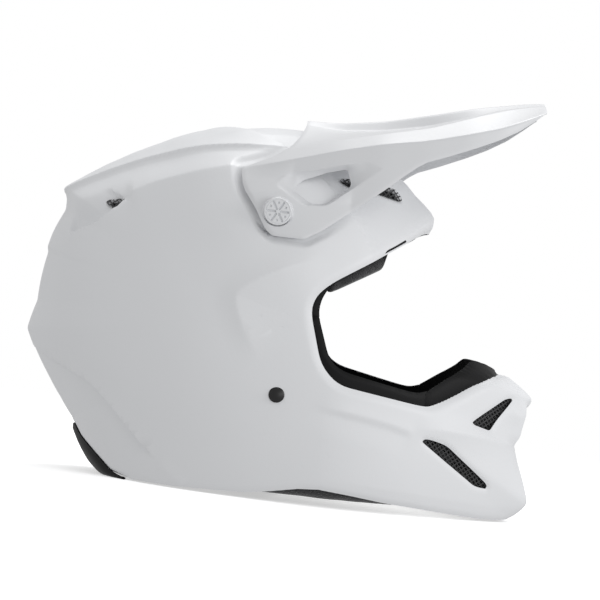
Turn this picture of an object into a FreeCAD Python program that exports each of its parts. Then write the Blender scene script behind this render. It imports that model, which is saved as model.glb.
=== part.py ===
import FreeCAD, Part
import bisect
import math
import os

# Motocross helmet.  Front faces -Y, +Z is up, the wearer's right is -X.
# The helmet stands on z = 0, and the origin is under the middle of its bounding box.

# ---- driving dimensions, mm ----
HALF_BREADTH = 125.0      # widest half breadth of the outer shell
CENTRE_Y = 10.0           # the shell's side faces bulge about this point
CENTRE_Z = 120.0
ROUNDNESS = 2.4           # exponent of the shell's rounded cross-section
TAPER_START_Y = -30.0     # the sides draw in from here to the chin bar's front
TAPER_LENGTH = 150.0
TAPER_SHARE = 0.26
SHELL_WALL = 3.0
FIT_GAP = 0.3             # clearance between nested pieces
FOAM_WALL = 27.0          # impact foam over the crown
LINER_WALL = 8.0          # padded comfort liner
TRIM_WIDTH = 5.0          # how far the port seal reaches into the eye port
MESH_WALL = 1.6
CHEEK_SPLIT = 24.0        # depth where the cheek foam ends and the cheek pad begins
SNAP_R = 4.0

PIVOT_Y = 15.5            # visor pivot, on both sides
PIVOT_Z = 193.0
PIVOT_SEAT_X = 113.5      # flat land on the shell at the pivot
VISOR_WALL = 2.5
VISOR_STANDOFF = 4.0      # visor arm's gap to the shell, so that it can tilt
SCREW_R = 3.0             # M6 pivot screw
SCREW_CAP_R = 9.2
RUNNING_GAP = 0.05        # radial clearance of a shaft in its hole

RIVET_Y = 1.5             # chin strap rivet, on both sides
RIVET_Z = 72.0
RIVET_HEAD_R = 5.3
STRAP_WIDTH = 24.0
STRAP_WALL = 1.5
D_RING_BAR_X = 34.0
D_RING_BEND_R = 17.0
D_RING_WIRE_R = 1.6
D_RING_LOWER_Z = 13.0
D_RING_UPPER_Z = 17.2

FAR = 400.0               # larger than the helmet in every direction

# Side outline of the closed outer form, as (y, z), from the crown towards the front.
# It runs straight across the eye port and below the base, where the shell is cut open.
OUTLINE = [
    (4, 257), (-44, 245), (-79, 221), (-93, 203),         # crown to brow
    (-120, 157), (-150, 106),                             # across the eye port
    (-178, 84), (-172, 50), (-181.3, 12),                  # chin bar
    (-150, -35), (-60, -62), (40, -60), (108, -10),       # below the base
    (142, 32), (162, 62), (181, 94), (176, 125),          # nape
    (172, 155), (166, 193), (131, 219), (74, 246),        # back to the crown
]

# Eye port in the side view, from the brow round the cheek to the chin bar.
PORT_EDGE = [
    (-92, 196), (-58, 171), (-26, 150), (-17, 141), (-14.5, 130),
    (-25.5, 95), (-38.5, 83), (-98, 75), (-106, 75.5), (-150, 105),
]

# Lower rim of the shell in the side view, from the back to the front.
BASE_EDGE = [
    (240, 31), (139.5, 31), (134.5, 23.5), (110, 3.5), (93, 0), (62, 0.5), (16, 3),
    (-1, 6), (-20, 10), (-34, 11), (-54, 9), (-79, 6), (-120, 3), (-150, 0), (-240, 0),
]


def vector(x, y, z):
    return FreeCAD.Vector(x, y, z)


# ---- the closed outer form ----

def polar_outline():
    """The outline as sorted (angle, radius) pairs about the form's centre."""
    pairs = []
    for y, z in OUTLINE:
        dy = y - CENTRE_Y
        dz = z - CENTRE_Z
        pairs.append((math.atan2(dz, dy), math.hypot(dy, dz)))
    return sorted(pairs)


POLAR = polar_outline()


def outline_radius(angle):
    """Distance from the form's centre to its side outline in one direction."""
    turn = 2 * math.pi
    before = [(a - turn, r) for a, r in POLAR[-1:]]
    after = [(a + turn, r) for a, r in POLAR[:1]]
    table = before + POLAR + after
    place = bisect.bisect_right([a for a, r in table], angle)
    place = min(max(place, 1), len(table) - 1)
    a0, r0 = table[place - 1]
    a1, r1 = table[place]
    return r0 + (r1 - r0) * (angle - a0) / (a1 - a0)


def taper(y):
    """Share of its full breadth that the form keeps at y: it narrows smoothly to the front."""
    reach = min(max((TAPER_START_Y - y) / TAPER_LENGTH, 0.0), 1.0)
    return 1 - TAPER_SHARE * reach * reach * (3 - 2 * reach)


def half_breadth(y, z, inset=0.0):
    """The half breadth in x, at a point of the side view, of the form shrunk by inset."""
    dy = y - CENTRE_Y
    dz = z - CENTRE_Z
    share = math.hypot(dy, dz) / (outline_radius(math.atan2(dz, dy)) - inset)
    return (HALF_BREADTH - inset) * taper(y) * math.sqrt(max(0.0, 1 - share ** ROUNDNESS))


def form(inset):
    """Closed solid of the helmet's outer form, shrunk by inset.

    Before the taper, each plane of constant x holds the side outline, scaled about the centre.
    """
    half = HALF_BREADTH - inset
    stations = 13
    steepest = math.radians(85)
    wires = []
    for step in range(stations):
        angle = steepest * (2 * step / (stations - 1) - 1)
        x = half * math.sin(angle)
        scale = math.cos(angle) ** (2 / ROUNDNESS)
        points = []
        for a, r in POLAR:
            radius = (r - inset) * scale
            y = CENTRE_Y + radius * math.cos(a)
            z = CENTRE_Z + radius * math.sin(a)
            points.append(vector(x * taper(y), y, z))
        curve = Part.BSplineCurve()
        curve.interpolate(Points=points, PeriodicFlag=True)
        wires.append(Part.Wire([curve.toShape()]))
    return Part.makeLoft(wires, True, False)


def layer(outer_inset, inner_inset):
    """A hollow layer of the form between two insets."""
    return form(outer_inset).cut(form(inner_inset))


def side_prism(points, x0=-FAR, x1=FAR):
    """A side-view polygon of (y, z) points, swept along x."""
    corners = [vector(x0, y, z) for y, z in points]
    face = Part.Face(Part.makePolygon(corners + corners[:1]))
    return face.extrude(vector(x1 - x0, 0, 0))


def box(x0, x1, y0, y1, z0, z1):
    return Part.makeBox(x1 - x0, y1 - y0, z1 - z0, vector(x0, y0, z0))


def rod(x0, x1, y, z, radius):
    """A cylinder along x, from x0 to x1."""
    length = abs(x1 - x0)
    return Part.makeCylinder(radius, length, vector(min(x0, x1), y, z), vector(1, 0, 0))


def mirrored(shape):
    return shape.mirror(vector(0, 0, 0), vector(1, 0, 0))


def grown(points, distance):
    """An open run of side-view points, moved to its left by distance, with mitred corners."""
    moved = []
    for place, (y, z) in enumerate(points):
        y0, z0 = points[max(place - 1, 0)]
        y1, z1 = points[min(place + 1, len(points) - 1)]
        ends = []
        if place > 0:
            ends.append((y - y0, z - z0))
        if place < len(points) - 1:
            ends.append((y1 - y, z1 - z))
        normals = [(-dz / math.hypot(dy, dz), dy / math.hypot(dy, dz)) for dy, dz in ends]
        ny = sum(n[0] for n in normals) / len(normals)
        nz = sum(n[1] for n in normals) / len(normals)
        square = ny * ny + nz * nz
        moved.append((y + distance * ny / square, z + distance * nz / square))
    return moved


def port_prism(growth):
    """The eye port's opening through both sides, grown all round its edge."""
    edge = grown(PORT_EDGE, growth)
    return side_prism(edge + [(-FAR, 105 - growth), (-FAR, 196 + growth)])


def above_base(lift):
    """Everything above the shell's lower rim, raised by lift."""
    edge = [(y, z + lift) for y, z in BASE_EDGE]
    return side_prism(edge + [(-240, FAR), (240, FAR)])


# ---- vents, as side-view outlines ----
CHIN_UPPER_VENT = [(-134, 68), (-136, 65.5), (-146, 62.5), (-148, 63), (-163, 87), (-158, 87), (-154, 85.5)]
CHIN_LOWER_VENT = [(-100, 50), (-103, 53), (-113, 52), (-121, 47.5), (-150, 24), (-148, 22.5), (-142, 23.5)]
BROW_VENT = [(-24, 222), (-40, 224.5), (-64, 220.5), (-70, 213), (-52, 215), (-36, 217.5)]
REAR_VENT = [(120, 192), (135, 174), (157, 164), (160, 174), (138, 187)]
SIDE_VENTS = {
    "chin_vent_mesh_upper": (CHIN_UPPER_VENT, 20),
    "chin_vent_mesh_lower": (CHIN_LOWER_VENT, 40),
    "brow_vent_mesh": (BROW_VENT, 25),
    "rear_vent_mesh": (REAR_VENT, 15),
}
MOUTH_HALF = 26.0
MOUTH_LOW = 53.0
MOUTH_HIGH = 79.0


def shrunk(points, distance):
    """A closed outline drawn in towards its middle, scaled so that it shrinks by about distance."""
    middle_y = sum(y for y, z in points) / len(points)
    middle_z = sum(z for y, z in points) / len(points)
    reach = max(math.hypot(y - middle_y, z - middle_z) for y, z in points)
    scale = 1 - distance / reach
    return [(middle_y + (y - middle_y) * scale, middle_z + (z - middle_z) * scale) for y, z in points]


def vent_prisms(shrink):
    """One prism for each side vent, on both sides, keyed by its mesh's name."""
    prisms = {}
    for name, (points, inner_x) in SIDE_VENTS.items():
        right = side_prism(shrunk(points, shrink), -FAR, -inner_x)
        prisms[name + "_right"] = right
        prisms[name + "_left"] = mirrored(right)
    mouth = box(-MOUTH_HALF + shrink, MOUTH_HALF - shrink, -FAR, -130, MOUTH_LOW + shrink, MOUTH_HIGH - shrink)
    prisms["mouth_vent_grille"] = mouth
    return prisms


# ---- shell and its trims ----

def outer_shell():
    shell = layer(0, SHELL_WALL)
    shell = shell.common(above_base(0))
    shell = shell.cut(port_prism(0))
    for prism in vent_prisms(0).values():
        shell = shell.cut(prism)
    for side in (-1, 1):
        seat = rod(side * PIVOT_SEAT_X, side * FAR, PIVOT_Y, PIVOT_Z, 15)
        boss = rod(side * 106.5, side * PIVOT_SEAT_X, PIVOT_Y, PIVOT_Z, 12)
        bore = rod(side * 90, side * FAR, PIVOT_Y, PIVOT_Z, 5.1)
        pocket = rod(side * 90, side * 106.5, PIVOT_Y, PIVOT_Z, 9.4)
        rivet_hole = rod(side * 110, side * FAR, RIVET_Y, RIVET_Z, 2.6)
        shell = shell.cut(seat).fuse(boss).cut(pocket).cut(bore).cut(rivet_hole)
    return shell.removeSplitter()


def port_seal():
    """Rubber band behind the port's edge, standing into the port at the cheek and chin."""
    inner_edge = [
        (-90, 190), (-57, 168), (-27, 148), (-22, 139), (-20, 129),
        (-31, 97), (-41, 89), (-98, 81), (-105, 82), (-140, 106),
    ]
    opening = side_prism(inner_edge + [(-FAR, 106), (-FAR, 190)])
    band = layer(SHELL_WALL + FIT_GAP, 9).common(port_prism(5.7)).cut(opening)
    return band.cut(box(-FAR, FAR, -FAR, -103, 0, 125)).cut(box(-FAR, FAR, -FAR, -84, 125, 260))


def chin_guard():
    """Soft cap along the top of the chin bar, under the wearer's nose."""
    profile = [
        (-152, 105.3), (-150, 107), (-141.5, 109.5), (-131, 110.5), (-104, 82), (-104, 76.2),
        (-106, 76), (-150, 105.3),
    ]
    return layer(1.0, 20).common(side_prism(profile))


def rear_bumper():
    """Rubber bumper under the shell's back edge, with a flat foot on z = 0."""
    outline = [
        (139.3, 30.6), (147, 27), (143, 16), (114, 0), (100, 0), (110.3, 3.2), (134.8, 23.1),
    ]
    return layer(-3.5, 3.9).common(side_prism(outline))


# ---- foam ----

CHEEK_TOP = [(-9, 145), (18, 112), (66, 66), (74, 24)]


def crown_foam():
    keep = side_prism([(-FAR, 145), (-9, 145)] + CHEEK_TOP[1:] + [(FAR, 24), (FAR, FAR), (-FAR, FAR)])
    foam = layer(SHELL_WALL + FIT_GAP, SHELL_WALL + FOAM_WALL).common(keep)
    foam = foam.cut(port_prism(7))
    for side in (-1, 1):
        foam = foam.cut(rod(side * 96, side * FAR, PIVOT_Y, PIVOT_Z, 13))
    return foam


def comfort_liner():
    keep = side_prism([(-FAR, 150), (-4, 150), (22, 118), (71, 72), (79, 30), (FAR, 30), (FAR, FAR), (-FAR, FAR)])
    inset = SHELL_WALL + FOAM_WALL + FIT_GAP
    return layer(inset, inset + LINER_WALL).common(keep).cut(port_prism(9))


def brow_pad():
    """Padded roll of the liner along the top edge of the eye port."""
    profile = [(-86, 192.5), (-58, 174), (-24, 152), (-24, 140.5), (-40, 151), (-66, 167), (-86, 184)]
    return layer(10, 29).common(side_prism(profile)).common(port_prism(6.7))


def chin_foam():
    profile = [(-97, 68.3), (-106, 68.5), (-150, 98), (-FAR, 98), (-FAR, 6), (-97, 6)]
    return layer(SHELL_WALL + FIT_GAP, 20).common(side_prism(profile))


CHEEK_EDGE = [
    (-96.4, 27), (-96.4, 67.5), (-36, 75.5), (-18, 92), (-8.5, 128), (-9, 143.5),
    (16.5, 111), (64.5, 65), (72.5, 27),
]


SNAP_PLACES = [(-70, 45), (-8, 108), (45, 50)]


def snap_group(radius):
    """Three snap studs along x, half in the left cheek foam and half in its pad."""
    studs = []
    for y, z in SNAP_PLACES:
        middle = half_breadth(y, z, CHEEK_SPLIT)
        studs.append(rod(middle - 4, middle + 4, y, z, radius))
    return Part.makeCompound(studs)


def cheek_foam(side):
    """Impact foam behind one cheek pad, with a channel for the chin strap's anchor."""
    inner = box(40, FAR, -FAR, FAR, 0, FAR)
    foam = layer(SHELL_WALL + FIT_GAP, CHEEK_SPLIT).common(side_prism(CHEEK_EDGE)).common(inner)
    channel_y0 = RIVET_Y - STRAP_WIDTH / 2 - 2
    channel = box(100, FAR, channel_y0, channel_y0 + STRAP_WIDTH + 4, 0, 90)
    foam = foam.cut(channel).cut(snap_group(SNAP_R + FIT_GAP))
    return foam if side > 0 else mirrored(foam)


def cheek_pad(side):
    """Padded cushion that grips one cheek."""
    edge = [
        (-88, 27), (-88, 72), (-38, 80), (-25, 92), (-15.5, 128), (-14, 140),
        (12, 110), (60, 63), (68, 27),
    ]
    pad = form(CHEEK_SPLIT + 0.4).common(side_prism(edge)).common(box(63, FAR, -FAR, FAR, 0, FAR))
    pad = pad.cut(snap_group(SNAP_R + FIT_GAP))
    return pad if side > 0 else mirrored(pad)


def neck_roll():
    """Padded ring round the neck opening, open at the front."""
    ring = layer(4.2, 18).common(box(-FAR, FAR, -95, FAR, 4.2, 22))
    return ring


# ---- visor ----

def visor_sections():
    """Half cross-sections of the visor's outer face, back to front.

    Each is (y, [(x, z), ...]) from the lower end of the side arm to the middle of the top.
    """
    arm_heights = (165, 178, 190, 202)
    folds = {
        56: [(92.5, 216), (84, 224), (60, 240), (36, 254), (29, 258), (0, 260)],
        20: [(96.5, 226.5), (86, 233), (62, 246), (36, 257), (29, 260.5), (0, 262)],
        0: [(97.5, 232.5), (84, 241), (60, 249), (35, 256.8), (29, 260), (0, 261)],
        -20: [(98, 239), (84, 247), (60, 252), (36, 255.5), (29, 261), (0, 262)],
        -50: [(97.5, 247), (83, 255), (60, 257.5), (36, 259), (28, 266), (0, 267)],
        -80: [(94, 253), (78, 262.5), (58, 264.5), (35, 265.5), (27, 274), (0, 275)],
        -110: [(88, 262), (64, 274.5), (50, 275.5), (34, 276), (25, 282.5), (0, 283.5)],
        -130: [(79, 269), (48, 282.3), (42, 283), (32, 283.4), (22, 287), (0, 288)],
        -148: [(66, 278), (36, 287.5), (30, 288), (24, 288.6), (16, 291), (0, 292)],
        -162: [(50, 286), (26, 290.5), (22, 291), (18, 291.5), (11, 293.5), (0, 294)],
    }
    sections = []
    for y, upper in folds.items():
        crease_x, crease_z = upper[0]
        arm = []
        for z in arm_heights:
            hug = half_breadth(y, z) + VISOR_STANDOFF + VISOR_WALL
            flare = crease_x + 0.10 * (crease_z - z)
            arm.append((max(hug, flare), z))
        sections.append((y, arm + upper))
    return sections


def visor_body():
    wires = []
    for y, half in visor_sections():
        inner_half = grown(half, VISOR_WALL)
        outer = half + [(-x, z) for x, z in reversed(half[:-1])]
        inner = inner_half + [(-x, z) for x, z in reversed(inner_half[:-1])]
        loop = outer + list(reversed(inner))
        corners = [vector(x, y, z) for x, z in loop]
        wires.append(Part.makePolygon(corners + corners[:1]))
    return Part.makeLoft(wires, True, True)


# Side outline of the visor, from its back lip down the arm's back edge and along its lower edge.
VISOR_OUTLINE = [
    (3.5, 300), (3.5, 257), (6, 249), (11.5, 240), (22.5, 231), (43.5, 220),
    (41.5, 210), (39, 205), (30.5, 194), (22.5, 181), (17.5, 177), (-4.5, 177), (-15.5, 184),
    (-53.5, 216), (-65.5, 227), (-73.5, 234), (-80, 238.5), (-93.5, 244), (-113.5, 253),
    (-127.5, 260), (-140.5, 268), (-151.5, 277), (-159, 284), (-159, 300),
]
VISOR_WINDOW = [(2.5, 219), (-27.5, 228), (-31.5, 217), (-16.5, 205), (-6.5, 204), (7.5, 212)]


def visor():
    body = visor_body().common(side_prism(VISOR_OUTLINE))
    body = body.cut(side_prism(VISOR_WINDOW, 60, FAR)).cut(side_prism(VISOR_WINDOW, -FAR, -60))
    seat_inner = PIVOT_SEAT_X + 0.4
    seat_outer = seat_inner + 4.0
    for side in (-1, 1):
        inner_relief = rod(side * 80, side * seat_inner, PIVOT_Y, PIVOT_Z, 15.5)
        outer_relief = rod(side * seat_outer, side * FAR, PIVOT_Y, PIVOT_Z, 12)
        disc = rod(side * seat_inner, side * seat_outer, PIVOT_Y, PIVOT_Z, 14)
        bore = rod(side * 80, side * FAR, PIVOT_Y, PIVOT_Z, SCREW_R + RUNNING_GAP)
        body = body.cut(inner_relief).fuse(disc).cut(outer_relief).cut(bore)
    return body.removeSplitter()


def visor_rest_pad():
    """Rubber pad under the visor's middle, which rides on the crown."""
    pad = box(-14, 14, -20, -9, 240, 270)
    return pad.cut(form(-0.7)).common(below_visor())


def below_visor():
    """The space under the visor's middle ridge."""
    outline = []
    for y, half in visor_sections():
        outline.append((y, half[-2][1] - VISOR_WALL - 0.2))
    low = [(-162, 200), (56, 200)]
    return side_prism(outline + low)


# ---- screws, inserts, rivets ----

def visor_screw(side):
    """Pivot screw with a broad cap; six radial slots and six dimples give it grip."""
    seat = PIVOT_SEAT_X + 4.4 + 0.1
    cap = rod(seat, seat + 3.4, PIVOT_Y, PIVOT_Z, SCREW_CAP_R)
    rim = [edge for edge in cap.Edges if abs(edge.BoundBox.XMin - (seat + 3.4)) < 0.01]
    cap = cap.makeFillet(0.8, rim)
    for step in range(6):
        angle = math.radians(60 * step)
        slot = box(seat + 2.4, seat + 4, 5.2, 9.6, -0.7, 0.7)
        slot.rotate(vector(0, 0, 0), vector(1, 0, 0), math.degrees(angle))
        slot.translate(vector(0, PIVOT_Y, PIVOT_Z))
        cap = cap.cut(slot)
        turn = angle + math.radians(30)
        dimple_y = PIVOT_Y + 6.4 * math.cos(turn)
        dimple_z = PIVOT_Z + 6.4 * math.sin(turn)
        cap = cap.cut(rod(seat + 2.6, seat + 4, dimple_y, dimple_z, 1.1))
    shank = rod(101, seat + 1, PIVOT_Y, PIVOT_Z, SCREW_R)
    screw = cap.fuse(shank).removeSplitter()
    return screw if side > 0 else mirrored(screw)


def pivot_insert(side):
    """Flanged brass nut behind the shell that the pivot screw turns in."""
    barrel = rod(104, 113.2, PIVOT_Y, PIVOT_Z, 5.0)
    flange = rod(104, 106.2, PIVOT_Y, PIVOT_Z, 9.0)
    bore = rod(95, 120, PIVOT_Y, PIVOT_Z, SCREW_R + RUNNING_GAP)
    insert = barrel.fuse(flange).cut(bore)
    return insert if side > 0 else mirrored(insert)


def strap_rivet(side):
    """Domed rivet that holds the chin strap's anchor to the shell."""
    seat = half_breadth(RIVET_Y, RIVET_Z) + 0.4
    ball_r = 8.0
    ball_x = seat - math.sqrt(ball_r ** 2 - RIVET_HEAD_R ** 2)
    dome = Part.makeSphere(ball_r, vector(ball_x, RIVET_Y, RIVET_Z))
    dome = dome.common(box(seat, FAR, -FAR, FAR, 0, FAR))
    shank = rod(113.0, seat + 0.5, RIVET_Y, RIVET_Z, 2.5)
    tail = rod(112.0, 113.4, RIVET_Y, RIVET_Z, 5.5)
    rivet = dome.fuse(shank).fuse(tail)
    return rivet if side > 0 else mirrored(rivet)


def strap_anchor(side):
    """Steel plate between the shell and the strap's sewn end."""
    plate = box(115.5, 117.0, RIVET_Y - 12, RIVET_Y + 12, RIVET_Z - 8, RIVET_Z + 10)
    upright = [edge for edge in plate.Edges if edge.BoundBox.XLength > 1]
    plate = plate.makeFillet(3, upright).cut(rod(100, 130, RIVET_Y, RIVET_Z, 2.6))
    return plate if side > 0 else mirrored(plate)


# ---- chin strap ----

def webbing(path, side):
    """A flat strap whose middle line runs through the (x, z) points, on the given side."""
    upper = grown(path, STRAP_WALL / 2)
    lower = grown(path, -STRAP_WALL / 2)
    loop = upper + list(reversed(lower))
    y0 = RIVET_Y - STRAP_WIDTH / 2
    corners = [vector(side * x, y0, z) for x, z in loop]
    face = Part.Face(Part.makePolygon(corners + corners[:1]))
    return face.extrude(vector(0, STRAP_WIDTH, 0))


# From the rivet down the inside of the shell, over the neck roll and into the opening.
STRAP_ROUTE = [(114.6, 82), (114.6, 66), (106.3, 30), (103, 24.3), (85, 24.3), (78, 18.5)]


def strap_hole(side):
    return rod(side * 100, side * 130, RIVET_Y, RIVET_Z, 2.6)


def strap_short():
    """Left strap, which ends in a sewn loop round both D-rings."""
    strap = webbing(STRAP_ROUTE + [(60, 15.6), (44, 15.1)], 1).cut(strap_hole(1))
    outer = [(30.6, 9.6), (38, 9.6), (47, 14.4), (47, 15.8), (38, 20.6), (30.6, 20.6)]
    inner = [(32.1, 11.1), (37.6, 11.1), (43.5, 14.6), (43.5, 15.6), (37.6, 19.1), (32.1, 19.1)]
    y0 = RIVET_Y - STRAP_WIDTH / 2
    loops = []
    for points in (outer, inner):
        corners = [vector(x, y0, z) for x, z in points]
        face = Part.Face(Part.makePolygon(corners + corners[:1]))
        loops.append(face.extrude(vector(0, STRAP_WIDTH, 0)))
    return loops[0].cut(loops[1]).fuse(strap).removeSplitter()


def strap_long():
    """Right strap, which passes up through both D-rings and folds back on itself."""
    fold = [(60, 13.5), (30, 10), (0, 8.2), (-26, 7.7), (-26, 24.2), (-12, 23.4), (15, 17), (40, 14.2), (60, 16.6)]
    return webbing(STRAP_ROUTE + fold, -1).cut(strap_hole(-1))


def d_ring(z):
    bend = Part.makeTorus(D_RING_BEND_R, D_RING_WIRE_R, vector(0, 0, 0), vector(0, 0, 1), 0, 360, 180)
    bend.rotate(vector(0, 0, 0), vector(0, 0, 1), 90)
    bar = Part.makeCylinder(D_RING_WIRE_R, 2 * D_RING_BEND_R, vector(0, -D_RING_BEND_R, 0), vector(0, 1, 0))
    ring = bend.fuse(bar)
    for end in (-1, 1):
        ring = ring.fuse(Part.makeSphere(D_RING_WIRE_R, vector(0, end * D_RING_BEND_R, 0)))
    ring.translate(vector(D_RING_BAR_X, RIVET_Y, z))
    return ring


def strap_snap():
    """Snap that holds the strap's tail: a cap on the tail and a socket under the strap."""
    cap = Part.makeCylinder(6.5, 1.8, vector(-48, RIVET_Y, 16.9))
    socket = Part.makeCylinder(6.0, 1.5, vector(-48, RIVET_Y, 9.0))
    return Part.makeCompound([cap, socket])


def nodes():
    pieces = {
        "outer_shell": outer_shell(),
        "eye_port_seal": port_seal(),
        "chin_bar_nose_guard": chin_guard(),
        "rear_bumper_trim": rear_bumper(),
        "crown_impact_foam": crown_foam(),
        "comfort_liner": comfort_liner(),
        "brow_pad": brow_pad(),
        "chin_bar_foam": chin_foam(),
        "neck_roll": neck_roll(),
        "visor": visor(),
        "visor_rest_pad": visor_rest_pad(),
        "strap_short": strap_short(),
        "strap_long": strap_long(),
        "d_ring_lower": d_ring(D_RING_LOWER_Z),
        "d_ring_upper": d_ring(D_RING_UPPER_Z),
        "strap_snap": strap_snap(),
    }
    for name, side in (("left", 1), ("right", -1)):
        snaps = snap_group(SNAP_R)
        pieces["cheek_pad_snaps_" + name] = snaps if side > 0 else mirrored(snaps)
        pieces["cheek_foam_" + name] = cheek_foam(side)
        pieces["cheek_pad_" + name] = cheek_pad(side)
        pieces["visor_screw_" + name] = visor_screw(side)
        pieces["pivot_insert_" + name] = pivot_insert(side)
        pieces["strap_rivet_" + name] = strap_rivet(side)
        pieces["strap_anchor_" + name] = strap_anchor(side)
    mesh_layer = layer(0.9, 0.9 + MESH_WALL)
    for name, prism in vent_prisms(0.25).items():
        pieces[name] = mesh_layer.common(prism)
    return pieces


def main():
    os.makedirs("parts", exist_ok=True)
    for name, shape in nodes().items():
        shape.exportStep("parts/" + name + ".step")


main()
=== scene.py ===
import math

import bmesh
import bpy
import numpy as np
from bpy.props import FloatProperty, FloatVectorProperty, PointerProperty
from mathutils import Matrix, Vector


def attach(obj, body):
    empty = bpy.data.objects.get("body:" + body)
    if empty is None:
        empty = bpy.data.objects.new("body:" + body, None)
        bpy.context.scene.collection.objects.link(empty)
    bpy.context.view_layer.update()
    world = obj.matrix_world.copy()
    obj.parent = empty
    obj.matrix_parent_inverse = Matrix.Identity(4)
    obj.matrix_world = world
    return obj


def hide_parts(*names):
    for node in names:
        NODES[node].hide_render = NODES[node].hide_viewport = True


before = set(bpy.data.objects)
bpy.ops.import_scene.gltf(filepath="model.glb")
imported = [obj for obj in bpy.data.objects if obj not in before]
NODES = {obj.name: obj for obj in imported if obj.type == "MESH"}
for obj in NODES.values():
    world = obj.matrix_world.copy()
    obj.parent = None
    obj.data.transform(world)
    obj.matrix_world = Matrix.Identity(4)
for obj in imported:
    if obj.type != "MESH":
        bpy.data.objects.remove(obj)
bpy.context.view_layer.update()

bl_info = {
    "name": "Motocross helmet",
    "version": (1, 0, 0),
    "blender": (4, 5, 0),
    "location": "3D View > Sidebar > Helmet",
    "description": "Builds the shell, visor, trims, pads and straps of a motocross helmet",
    "category": "Object",
}

# Lengths in the shape functions are millimetres in the frame of the CAD nodes, whose own unit is the metre.
# Front is -Y, +Z is up, the wearer's right is -X, and the helmet stands on z = 0.
MM = 0.001


# ---- the helmet's outer form ----

HALF_BREADTH = 125.0
CENTRE = np.array([10.0, 120.0])
ROUNDNESS = 2.4
FAR = 500.0

# Outline of the closed form in the middle plane, as (y, z), from the nape spoiler over the crown and round.
OUTLINE = np.array([
    (165.5, 194), (161.5, 198), (146.5, 209), (130.5, 219), (114.5, 228), (103.5, 233.5), (90.5, 240),
    (74.5, 246), (58.5, 251), (41.5, 254.5), (25.5, 256.5), (4.5, 257), (-7.5, 255.5), (-25.5, 251),
    (-43.5, 245), (-72.5, 228), (-79.5, 221), (-92.5, 210), (-95.8, 205), (-95.5, 194), (-98, 178),
    (-151.2, 104.6),
    (-160.3, 98.9), (-173.7, 89.7), (-176.1, 86.6), (-176, 81.8), (-167.4, 52.2), (-171.5, 41.1),
    (-181, 16.5), (-181, 13.7), (-172.3, 1.8), (-150, -35), (-60, -62), (40, -60), (108, -10),
    (139.5, 31), (141.5, 36), (151.5, 49), (161.5, 62), (174.5, 82), (180.5, 94), (175.7, 114),
    (172.2, 148.6), (173.3, 151.5), (165.2, 179.5),
])

# Eye port, from the brow round the cheek to the chin bar, and on to the front.
PORT = [
    (-92.5, 194), (-57.5, 171), (-26, 150), (-17, 140.5), (-14.5, 130), (-25.5, 95), (-38.5, 83),
    (-98.5, 75), (-105.5, 76), (-150.5, 105), (-FAR, 105), (-FAR, 196),
]
# Everything under the shell's lower rim.
UNDER_BASE = [
    (FAR, 31), (139.5, 31), (134.5, 23.5), (110, 3.5), (93, 0), (62, 0.5), (16, 3), (-1, 6), (-20, 10),
    (-34, 11), (-54, 9), (-79, 6), (-120, 3), (-150, 0.5), (-FAR, 0.5), (-FAR, -FAR), (FAR, -FAR),
]
CHIN_UPPER_VENT = [(-133.1, 67.9), (-134.6, 66.3), (-146.3, 63.1), (-162, 87), (-157.4, 86.4), (-154.9, 85.2)]
CHIN_LOWER_VENT = [
    (-99.5, 51.7), (-101.9, 53.6), (-106.6, 53.2), (-115.4, 51), (-119.6, 48.9), (-140, 33.6),
    (-148.7, 26.8), (-150.1, 24.3), (-149.2, 22.9), (-142.5, 23.8), (-139.7, 24.8),
]
BROW_VENT = [(-24.5, 222), (-36.5, 223), (-57.5, 221), (-63.5, 220), (-68.5, 214), (-53.5, 217), (-31.5, 219)]
REAR_VENT = [(133.5, 188), (119.5, 191), (125.1, 183.6)]
SIDE_VENTS = {
    "chin_vent_mesh_upper": CHIN_UPPER_VENT,
    "chin_vent_mesh_lower": CHIN_LOWER_VENT,
    "brow_vent_mesh": BROW_VENT,
    "rear_vent_mesh": REAR_VENT,
}
MOUTH_HALF = 26.0
MOUTH_LOW = 53.0
MOUTH_HIGH = 79.0

# Visor pivot in the side view, its flat seat on the shell and in the arm, and the holes round it.
PIVOT = np.array([15.5, 193.0])
SHELL_SEAT = 113.5
VISOR_SEAT = 117.9
SCREW_HOLE = 3.2
INSERT_HOLE = 5.1


def smooth(low, high, value):
    """Rises from 0 at low to 1 at high, level at both ends: t * t * (3 - 2 * t)."""
    t = np.clip((value - low) / (high - low), 0.0, 1.0)
    return t * t * (3 - 2 * t)


def hump(value, reach):
    """1 at zero, falling as the square of the remaining distance to 0 at reach."""
    return np.clip(1 - np.abs(value) / reach, 0.0, None) ** 2


def rounded(points, rounds):
    """Corner cutting on an open line: every corner gives way to the points a quarter along its two sides."""
    line = np.asarray(points, float)
    for _ in range(rounds):
        following = np.roll(line, -1, axis=0)
        pair = np.stack([line * 0.75 + following * 0.25, line * 0.25 + following * 0.75], axis=1)
        line = np.vstack([line[:1], pair[:-1].reshape(-1, line.shape[1]), line[-1:]])
    return line


def eased(points, radius):
    """A closed outline whose corners are bent round: each becomes five points of a parabola that starts and
    ends at a radius from the corner, or at 0.45 of a shorter side."""
    line = np.asarray(points, float)
    back = np.roll(line, 1, axis=0) - line
    ahead = np.roll(line, -1, axis=0) - line
    spans = [np.linalg.norm(run, axis=1, keepdims=True) for run in (back, ahead)]
    start, finish = (line + run / span * np.minimum(radius, 0.45 * span)
                     for run, span in zip((back, ahead), spans))
    t = np.linspace(0, 1, 5)[None, :, None]
    bend = start[:, None] * (1 - t) ** 2 + line[:, None] * 2 * t * (1 - t) + finish[:, None] * t ** 2
    return bend.reshape(-1, 2)


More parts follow.
